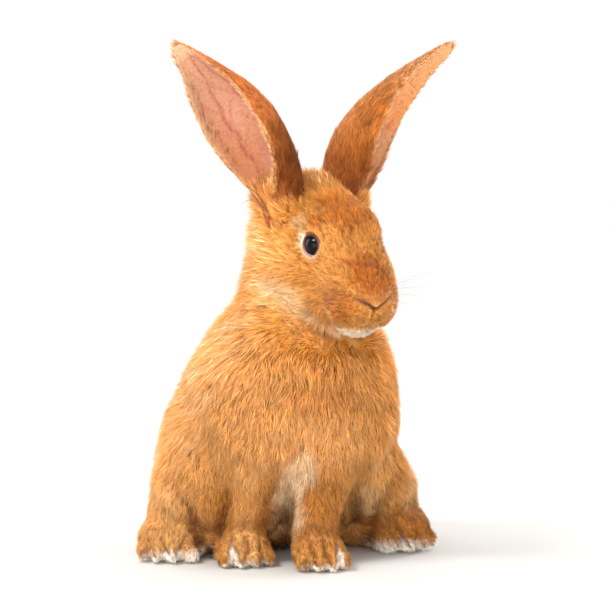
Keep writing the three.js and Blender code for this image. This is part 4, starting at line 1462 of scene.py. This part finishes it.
# Combed hair: a satin surface with hardly any gloss. It is darkest and richest at its root and palest at its
# tip, partly its own colour and partly painted shade where the coat shades itself, and no two tufts have
# quite the same tone. Pale hair is painted bright down to the root: painted light for the light that passes
# through it.
def furMaterial(name, root, tip, dullest, brightest):
    material, tree, surface = newMaterial(name, {"Roughness": 0.52, "Specular IOR Level": 0.12})
    tone = addNode(tree, "ShaderNodeAttribute", attribute_name="tone").outputs["Color"]
    strand = addNode(tree, "ShaderNodeAttribute", attribute_name="strand").outputs["Vector"]
    parts = addNode(tree, "ShaderNodeSeparateXYZ", {"Vector": strand})
    along = addNode(tree, "ShaderNodeMapRange", {"Value": parts.outputs["X"], "To Min": root, "To Max": tip})
    luck = addNode(tree, "ShaderNodeMapRange", {
        "Value": parts.outputs["Y"], "To Min": dullest, "To Max": brightest,
    })
    # The blue of the tone lifts pale tufts, most of all at the dark root: painted light.
    pale = addNode(tree, "ShaderNodeMapRange", {
        "Value": parts.outputs["Z"], "From Min": 0.25, "From Max": 0.8, "To Max": 0.5,
    })
    along = addNode(tree, "ShaderNodeMath", {0: along.outputs["Result"], 1: pale.outputs["Result"]})
    level = addNode(tree, "ShaderNodeMath", {
        0: along.outputs["Value"], 1: luck.outputs["Result"],
    }, operation="MULTIPLY")
    # Richer colour towards the root: painted shade, as deep shade in hair looks.
    rootShadeRichness = addNode(tree, "ShaderNodeMapRange", {"Value": parts.outputs["X"], "To Min": 1.14, "To Max": 0.9})
    hair = addNode(tree, "ShaderNodeHueSaturation", {
        "Color": tone, "Saturation": rootShadeRichness.outputs["Result"], "Value": level.outputs["Value"],
    })
    tree.links.new(hair.outputs["Color"], surface.inputs["Base Color"])
    return material


furCoat = furMaterial("rabbit hair, dense and satin", 0.68, 1.5, 0.62, 1.36)
furDown = furMaterial("short rabbit hair on the face and feet", 0.6, 1.12, 0.48, 1.46)
furEar = furMaterial("fine hair on the ears", 0.78, 1.2, 0.5, 1.46)

# The hide under the hair: matt, with the same markings but darker, a painted shade so that gaps between tufts
# look deep.
hideMaterial, tree, surface = newMaterial("rabbit hide under the hair", {"Roughness": 0.75})
tone = addNode(tree, "ShaderNodeAttribute", attribute_name="tone").outputs["Color"]
spot = addNode(tree, "ShaderNodeTexCoord").outputs["Object"]
stretch = addNode(tree, "ShaderNodeMapping", {"Vector": spot, "Scale": (1, 1, 0.3)}).outputs["Vector"]
grain = addNode(tree, "ShaderNodeTexNoise", {
    "Vector": stretch, "Scale": 1 / (grains["hide"] * mm), "Detail": 4,
}).outputs["Fac"]
shade = addNode(tree, "ShaderNodeMapRange", {
    "Value": grain, "From Min": 0.3, "From Max": 0.7, "To Min": 0.62, "To Max": 0.95,
})
grey = addNode(tree, "ShaderNodeCombineColor", {
    channel: shade.outputs["Result"] for channel in ("Red", "Green", "Blue")
})
colour = addNode(tree, "ShaderNodeMix", {
    0: 1.0, 6: tone, 7: grey.outputs["Color"],
}, data_type="RGBA", blend_type="MULTIPLY")
tree.links.new(colour.outputs[2], surface.inputs["Base Color"])
bump = addNode(tree, "ShaderNodeBump", {"Height": grain, "Strength": 0.6, "Distance": 0.4 * mm})
tree.links.new(bump.outputs["Normal"], surface.inputs["Normal"])


# Bare edges of the nose: how far each reaches from its line, in mm, and its tone.
bareEdges = {"nostril right": (1.9, "mauve"), "nostril left": (1.6, "mauve"), "philtrum": (0.8, "wine")}


# The skin's own colour: the markings, with the bare edges of the nose.
def paintSkin():
    mesh = skin.data
    points = pointsOf(mesh)
    colour = toneAt(points)
    close = np.nonzero(fromMuzzle(points) < 20)[0]
    for name, (reach, code) in bareEdges.items():
        apart, along = nearestIn(points[close], faceSpots[name])
        share = 0.95 * np.exp(-((apart / (reach * (1 - 0.65 * along))) ** 2))[:, None]
        colour[close] = colour[close] * (1 - share) + colourOf(tones[code]) * share
    paint(mesh, "tone", colour)
    mesh.materials.clear()
    mesh.materials.append(hideMaterial)


paintSkin()
finishPiece(skin, fleshNodes)


# Tufts a square millimetre: most on the muzzle and the feet, fewest under the body.
def bodyDensity(points):
    own, body = inHead(points), inBody(points)
    dense = coat["dense"]
    face = (own[:, 1] < 40) & (own[:, 2] > -48) & (np.abs(own[:, 0]) < 45)
    density = dense["body"] + (dense["back"] - dense["body"]) * smoothStep(50, 100, body[:, 1])
    feet = body[:, 2] < 34
    density[feet] = dense["feet"] * (1 - 0.55 * smoothStep(60, 110, body[feet][:, 1]))
    toFace = dense["face"] * (0.6 + 0.4 * smoothStep(35, -10, own[face][:, 1]))
    density[face] = toFace + (dense["muzzle"] - dense["face"]) * smoothStep(-24, -38, own[face][:, 1])
    density[body[:, 2] < 2.2] = dense["under"]
    under = (body[:, 2] < 40) & (body[:, 1] > 60) & (body[:, 1] < 130)
    density[under & (np.abs(body[:, 0] - bodyMiddle) < 36)] = dense["under"]
    return density


bentFrom, shortUpTo = 13, 6.5  # lengths in mm


# Hairs are a dictionary of arrays: roots, normals, lies, depth, length, width and tone. The longest hair is
# bent and the rest straight; where one kind gives way to the other, they mix.
def grow(name, hairs, flatPlace, rng, short=furDown, slot="coat"):
    reach = hairs["length"] * rng.uniform(0.85, 1.15, len(hairs["length"]))
    long = short if slot == "ear" else furCoat
    kinds = (
        ("", reach >= bentFrom, True, long), ("Mid", (reach >= shortUpTo) & (reach < bentFrom), False, long),
        ("Short", reach < shortUpTo, False, short),
    )
    for kind, some, bent, material in kinds:
        if some.any():
            part = {key: values[some] for key, values in hairs.items()}
            growTufts(name + kind, part, flatPlace, bent, material, rng)


# Round the eye the hair turns away from it and gets shorter.
def roundEyes(hairs):
    roots, lies = hairs["roots"], hairs["lies"]
    for start, outward, front, up in eyeFrames.values():
        ahead = (roots - start) @ outward
        away = (roots - start) - ahead[:, None] * outward
        near = (ahead > 0) * (1 - smoothStep(7, 13, np.linalg.norm(away, axis=1) / mm))
        lies = unit(lies + 1.3 * near[:, None] * unit(away))
    close = 1 - smoothStep(7, 14, fromEyes(roots))
    hairs["lies"] = lies
    hairs["depth"] = hairs["depth"] * (1 - 0.55 * close)
    hairs["length"] = hairs["length"] * (1 - 0.45 * close)


def coverBody():
    rng = np.random.default_rng(coat["seed"])
    roots, normals = scatter(skin.data, bodyDensity, rng)[:2]
    bare = np.full(len(roots), 99.0)  # millimetres from the nearest bare edge
    close = np.nonzero(fromMuzzle(roots) < 20)[0]
    for name, spots in faceSpots.items():
        reach = 0.4 if "nostril" in name else 0.1
        bare[close] = np.minimum(bare[close], nearestIn(roots[close], spots)[0] - reach)
    keep = (bare > 0.6) & (fromEyes(roots) > 8)
    roots, normals, bare = roots[keep], normals[keep], bare[keep]
    lies, depth, length, width = coatAt(roots)
    length = length * (0.45 + 0.55 * smoothStep(0.5, 4, bare))
    tone = toneAt(roots, np.array([row[3] for row in whiskerSpots]))
    hairs = {"roots": roots, "normals": normals, "lies": lies, "depth": depth, "length": length, "tone": tone}
    hairs["width"] = 1.12 * width
    roundEyes(hairs)
    grow("coat", hairs, coverPlace, rng)


# Longer pale hairs stand out of the chest, the neck and the flanks, where the coat is long enough. Length and
# depth are multiples of the coat's own, and no hair is shorter than the least.
guard = {
    "seed": 9, "dense": 0.22, "from": 8.5, "least": 13.5, "length": 1.3, "width": 0.3, "depth": 1.7,
    "pale": 0.75,
}


def addGuardHair():
    rng = np.random.default_rng(guard["seed"])

    def densityAt(points):
        body = inBody(points)
        shown = (body[:, 2] > 62) * (inHead(points)[:, 1] > -6)
        return guard["dense"] * shown * (0.35 + 0.65 * smoothStep(70, 10, body[:, 1]))

    roots, normals = scatter(skin.data, densityAt, rng)[:2]
    lies, depth, length = coatAt(roots)[:3]
    some = length > guard["from"]
    roots, normals, lies, depth, length = (values[some] for values in (roots, normals, lies, depth, length))
    tone = toneAt(roots)
    tone = tone + guard["pale"] * rng.random((len(roots), 1)) * (colourOf(tones["ivory"]) - tone)
    hairs = {"roots": roots, "normals": normals, "lies": lies, "depth": depth * guard["depth"], "tone": tone}
    hairs["length"] = np.maximum(guard["least"], length * guard["length"])
    hairs["width"] = np.full(len(roots), guard["width"])
    grow("guardHair", hairs, coverPlace, rng)


# One node tree draws every tapered strand, such as a whisker, a lash or a claw. It takes bare edges, from
# root to tip, bends them down, thins them to a point and gives them a round wall.
def strandTree():
    tree = bpy.data.node_groups.new("tapered strands", "GeometryNodeTree")
    kinds = {
        "Strands": "Geometry", "Radius": "Float", "Sag": "Float", "Taper": "Float",
        "Steps": "Int", "Sides": "Int", "Material": "Material",
    }
    for name, kind in kinds.items():
        tree.interface.new_socket(name, in_out="INPUT", socket_type=f"NodeSocket{kind}")
    tree.interface.new_socket("Mesh", in_out="OUTPUT", socket_type="NodeSocketGeometry")
    given = addNode(tree, "NodeGroupInput").outputs
    curves = addNode(tree, "GeometryNodeMeshToCurve", {"Mesh": given["Strands"]}).outputs["Curve"]
    curves = addNode(tree, "GeometryNodeResampleCurve", {"Curve": curves, "Count": given["Steps"]})
    factor = addNode(tree, "GeometryNodeSplineParameter").outputs["Factor"]
    index = addNode(tree, "GeometryNodeInputIndex").outputs["Index"]
    chance = addNode(tree, "FunctionNodeRandomValue", {2: 0.5, 3: 1.5, 7: index, 8: 4}).outputs[1]
    chance = addNode(tree, "GeometryNodeFieldOnDomain", {"Value": chance}, domain="CURVE").outputs["Value"]
    bow = addNode(tree, "ShaderNodeMath", {0: factor, 1: 2.0}, operation="POWER").outputs["Value"]
    for share in (given["Sag"], chance, -1.0):
        bow = addNode(tree, "ShaderNodeMath", {0: bow, 1: share}, operation="MULTIPLY").outputs["Value"]
    offset = addNode(tree, "ShaderNodeCombineXYZ", {"Z": bow}).outputs["Vector"]
    curves = addNode(tree, "GeometryNodeSetPosition", {"Geometry": curves.outputs["Curve"], "Offset": offset})
    rest = addNode(tree, "ShaderNodeMath", {0: 1.03, 1: factor}, operation="SUBTRACT").outputs["Value"]
    thin = addNode(tree, "ShaderNodeMath", {0: rest, 1: given["Taper"]}, operation="POWER").outputs["Value"]
    thin = addNode(tree, "ShaderNodeMath", {0: thin, 1: given["Radius"]}, operation="MULTIPLY")
    ring = addNode(tree, "GeometryNodeCurvePrimitiveCircle", {"Resolution": given["Sides"], "Radius": 1.0})
    wall = addNode(tree, "GeometryNodeCurveToMesh", {
        "Curve": curves.outputs["Geometry"], "Profile Curve": ring.outputs["Curve"],
        "Scale": thin.outputs["Value"], "Fill Caps": True,
    }).outputs["Mesh"]
    whole = addNode(tree, "GeometryNodeRealizeInstances", {"Geometry": wall}).outputs["Geometry"]
    whole = addNode(tree, "GeometryNodeSetMaterial", {"Geometry": whole, "Material": given["Material"]})
    addNode(tree, "NodeGroupOutput", {"Mesh": whole.outputs["Geometry"]})
    return tree


# Pairs of root and tip as one piece of tapered strands.
def makeStrands(name, pairs, settings, nodes=()):
    piece = bpy.data.objects.new(name, bpy.data.meshes.new(name))
    ends = [tuple(p) for pair in pairs for p in pair]
    piece.data.from_pydata(ends, [(2 * n, 2 * n + 1) for n in range(len(pairs))], [])
    bpy.context.scene.collection.objects.link(piece)
    modifier = piece.modifiers.new("strands", "NODES")
    modifier.node_group = strands
    sockets = {item.name: item.identifier for item in strands.interface.items_tree if item.in_out == "INPUT"}
    for key, value in settings.items():
        modifier[sockets[key]] = value
    applyModifiers(piece)
    outwardFaces(piece.data)
    piece.data.polygons.foreach_set("use_smooth", [True] * len(piece.data.polygons))
    finishPiece(piece, nodes)


# Whiskers are glossy and catch the light in thin lines.
whiskerMaterial = mottledMaterial(
    "whisker keratin, pale and glossy", grains["whisker"], 2, ("#8a6442", "#c0996c"), {"Roughness": 0.35},
)
# Lashes are nearly black and only just shine.
lashMaterial = mottledMaterial(
    "dark lash hair", grains["lash"], 2, ("#24120a", "#5a3520"), {"Roughness": 0.4},
)
# Claws are smooth horn, and their edges glow a little.
clawMaterial = mottledMaterial(
    "claw horn, translucent brown with growth rings", grains["claw"], 3, ("#6f4f38", "#b8987a"),
    {"Roughness": 0.35, "Subsurface Weight": 0.2, "Subsurface Scale": 0.8 * mm},
)

strands = strandTree()

# Rows of whiskers on each pad, in mm of the head's frame.
whiskers = {
    "rows": (-9.5, -13.5, -17.5, -21.5), "columns": (-49, -45.5, -42, -38.5), "out": 19,
    "length": (20, 48), "radius": 0.075, "sag": 7, "seed": 12,
}


# Where each whisker leaves the skin, with its side, row and column.
def whiskerRoots():
    roots = []
    for s in (left, right):
        for n, z in enumerate(whiskers["rows"]):
            for k, y in enumerate(whiskers["columns"]):
                aim = onHead([(noseMiddle + s * 40, y + 10 + 0.8 * (n % 2), z)])[0]
                hit = skinTree.ray_cast(Vector(aim), Vector(headTurn @ np.array((-s, -0.25, 0))))[0]
                if hit:
                    roots.append((s, n, k, np.array(hit)))
    return roots


def makeWhiskers():
    rng = np.random.default_rng(whiskers["seed"])
    low, high = whiskers["length"]
    pairs = []
    for s, n, k, root in whiskerSpots:
        length = (low + (high - low) * (0.25 * k + 0.25 * rng.uniform())) * mm
        back, rise = 0.05 - 0.05 * k + 0.45 * rng.uniform(), 0.3 - 0.26 * n + 0.12 * rng.uniform()
        way = unit(headTurn @ np.array((s, back, rise)))
        pairs.append((root - way * mm, root + way * length))
    settings = {"Radius": whiskers["radius"] * mm, "Sag": whiskers["sag"] * mm, "Material": whiskerMaterial}
    makeStrands("whiskers", pairs, {**settings, "Taper": 0.7, "Steps": 12, "Sides": 5})


# Lashes in mm, from one angle to the other over the top of each eye. Their roots lie on the lid: so far
# from the eye's axis, and so far out along it.
lashes = {
    "count": 22, "length": (1.8, 3.2), "radius": 0.07, "sag": -0.5, "from": 35, "to": 165, "root": (6.9, 5.9),
    "seed": 13,
}


def makeLashes():
    rng = np.random.default_rng(lashes["seed"])
    apart, out = lashes["root"]
    pairs = []
    for start, outward, front, up in eyeFrames.values():
        for n in range(lashes["count"]):
            angle = math.radians(lashes["from"] + (lashes["to"] - lashes["from"]) * n / (lashes["count"] - 1))
            flat = math.cos(angle) * front + math.sin(angle) * up
            root = start + (apart * flat + out * outward) * mm
            way = unit(0.9 * flat + 0.75 * outward + 0.25 * rng.normal(size=3))
            pairs.append((root, root + way * rng.uniform(*lashes["length"]) * mm))
    settings = {"Radius": lashes["radius"] * mm, "Sag": lashes["sag"] * mm, "Material": lashMaterial}
    makeStrands("lashes", pairs, {**settings, "Taper": 0.8, "Steps": 6, "Sides": 5})


# Claws in mm; they point down by the droop, in degrees.
claws = {"length": 4.4, "droop": 24, "radius": 1.0, "sag": 0.5}


def makeClaws():
    droop = math.radians(claws["droop"])
    pairs, nodes = [], []
    for foot in legPlan:
        for side in sides:
            turn = footFrame(foot, side)[1]
            ahead = turn @ np.array((0, -math.cos(droop), -math.sin(droop)))
            for n in (1, 2, 3, 4):
                node = f"claw_{foot}_{side}_{n}"
                reach = ahead * claws["length"] / 2 * mm
                root, tip = middleOf(node) - reach, middleOf(node) + reach
                tip[2] = max(tip[2], (1.2 * claws["sag"] + 0.5) * mm)
                pairs.append((root, tip))
                nodes.append(node)
    settings = {"Radius": claws["radius"] * mm, "Sag": claws["sag"] * mm, "Material": clawMaterial}
    makeStrands("claws", pairs, {**settings, "Taper": 0.62, "Steps": 9, "Sides": 10}, nodes)


whiskerSpots = whiskerRoots()
makeWhiskers()
makeLashes()
makeClaws()
print("whiskers, lashes and claws made")


# Short hair on the lids' outer slope, white round most of the eye: tufts a square millimetre, the distance
# from the eye's middle that they start at, and their depth, length and width, in mm.
lidHair = {"dense": 9.0, "from": 6.6, "depth": 0.3, "length": 2.2, "width": 0.22}


def lidDensity(points):
    return lidHair["dense"] * (fromEyes(points) > lidHair["from"])


def coverLids():
    rng = np.random.default_rng(coat["seed"] + 1)
    for piece in lidPieces:
        roots, normals = scatter(piece.data, lidDensity, rng)[:2]
        nearest = min(eyeFrames.values(), key=lambda view: np.linalg.norm(view[0] - roots[0]))
        start, outward, front, up = nearest
        seen = (roots - start) @ outward / mm > 3
        roots, normals = roots[seen], normals[seen]
        away = unit((roots - start) - ((roots - start) @ outward)[:, None] * outward)
        lies = unit(away - 0.35 * front)
        hairs = {"roots": roots, "normals": normals, "lies": lies, "tone": toneAt(roots)}
        hairs.update({key: np.full(len(roots), lidHair[key]) for key in ("depth", "length", "width")})
        grow(piece.name + "Hair", hairs, unwrapOf(piece.data, "unwrap"), rng)


# The ears' hair: each row is a part, how dense it is, its depth, its length at the foot and at the tip of
# the ear, its width and how far it leans to the middle of the cup.
mostEarHair = 4.5  # tufts a square millimetre in the densest part
earHair = {
    "back": (3.0, 0.9, 10.0, 5.5, 0.44, 0),
    "rim": (mostEarHair, 0.8, 5.0, 3.2, 0.28, -0.1),
    "outerEdge": (1.8, 0.7, 6.0, 3.8, 0.18, 0.8),
    "innerEdge": (2.6, 0.6, 7.0, 3.4, 0.16, 0.35),
    "foot": (2.2, 1.3, 8.0, 8.0, 0.36, 0.1),
    "tip": (4.0, 0.35, 3.2, 2.4, 0.34, 0),
    "bare": (0, 0.3, 2, 2, 0.2, 0),
}
# Its tones at the foot and at the tip of the ear; the ears' own table has those of its outer edge and tip.
earHairTones = {
    "rim": ("#dc9a55", "#e9c292"), "innerEdge": ("#e6b27c", "#f3d3b4"), "foot": ("#c47c3a", "#e6ad70"),
}


# The part of the ear that each place belongs to.
def earPart(share, across, inside, s):
    outer = -s * across
    part = np.where(inside > 0.5, "bare", "back").astype(object)
    part[(inside > 0.5) & (outer > 0.76)] = "outerEdge"
    part[(inside > 0.5) & (outer < -0.66)] = "innerEdge"
    part[(inside > 0.5) & (share < 0.08)] = "foot"
    part[(inside > 0.5) & (share > 0.9)] = "tip"
    part[np.abs(across) > 0.955] = "rim"
    return part


def coverEar(side):
    ear, form = earPieces[side]
    rng = np.random.default_rng(coat["seed"] + 2)
    s = sides[side]
    roots, normals, face, weights = scatter(ear.data, lambda spots: np.full(len(spots), mostEarHair), rng)
    corners = trianglesOf(ear.data)[face]
    share, across, inside, *tangent = (form[corners] * weights[:, :, None]).sum(1).T
    tangent = unit(np.stack(tangent, 1))
    part = earPart(share, across, inside, s)
    part[(inside > 0.5) & (share > ears[side]["furred"][0] + rng.uniform(0, 0.15, len(share)))] = "tip"
    rows = np.array([earHair[name] for name in part], float)
    keep = (rng.random(len(roots)) < rows[:, 0] / mostEarHair) & (share > -0.22)
    roots, normals, share, across, inside, tangent, part, rows = (
        values[keep] for values in (roots, normals, share, across, inside, tangent, part, rows)
    )
    depth, low, high, width, lean = rows.T[1:]
    toRim = np.cross(normals, tangent)
    towards = unit(np.sum(toRim * (roots - roots.mean(0)), 1, keepdims=True) * toRim)
    hairs = {"roots": roots, "normals": normals, "depth": depth, "width": width}
    hairs["lies"] = unit(tangent - lean[:, None] * towards)
    hairs["length"] = low + (high - low) * np.clip(share, 0, 1)
    hairs["tone"] = hairToneAt(part, share, across, inside, side, rng)
    grow(ear.name + "Hair", hairs, unwrapOf(ear.data, "unwrap"), rng, short=furEar, slot="ear")


# The back's hair has the tone of the ear; the other parts run from one tone at the foot of the ear to
# another at its tip, and in the foot's hair the two are mixed.
def hairToneAt(part, share, across, inside, side, rng):
    colour = earToneAt(share, across, inside, side)
    own = {**earHairTones, "outerEdge": ears[side]["edges"], "tip": ears[side]["tips"]}
    for name, (low, high) in own.items():
        some = part == name
        pick = rng.random(some.sum()) if name == "foot" else np.clip(share[some] * 1.2, 0, 1)
        low, high = colourOf(low), colourOf(high)
        colour[some] = low + pick[:, None] * (high - low)
    return colour


coverPlace = unwrapOf(skin.data, "unwrap")
coverBody()
addGuardHair()
coverLids()
for side in sides:
    coverEar(side)
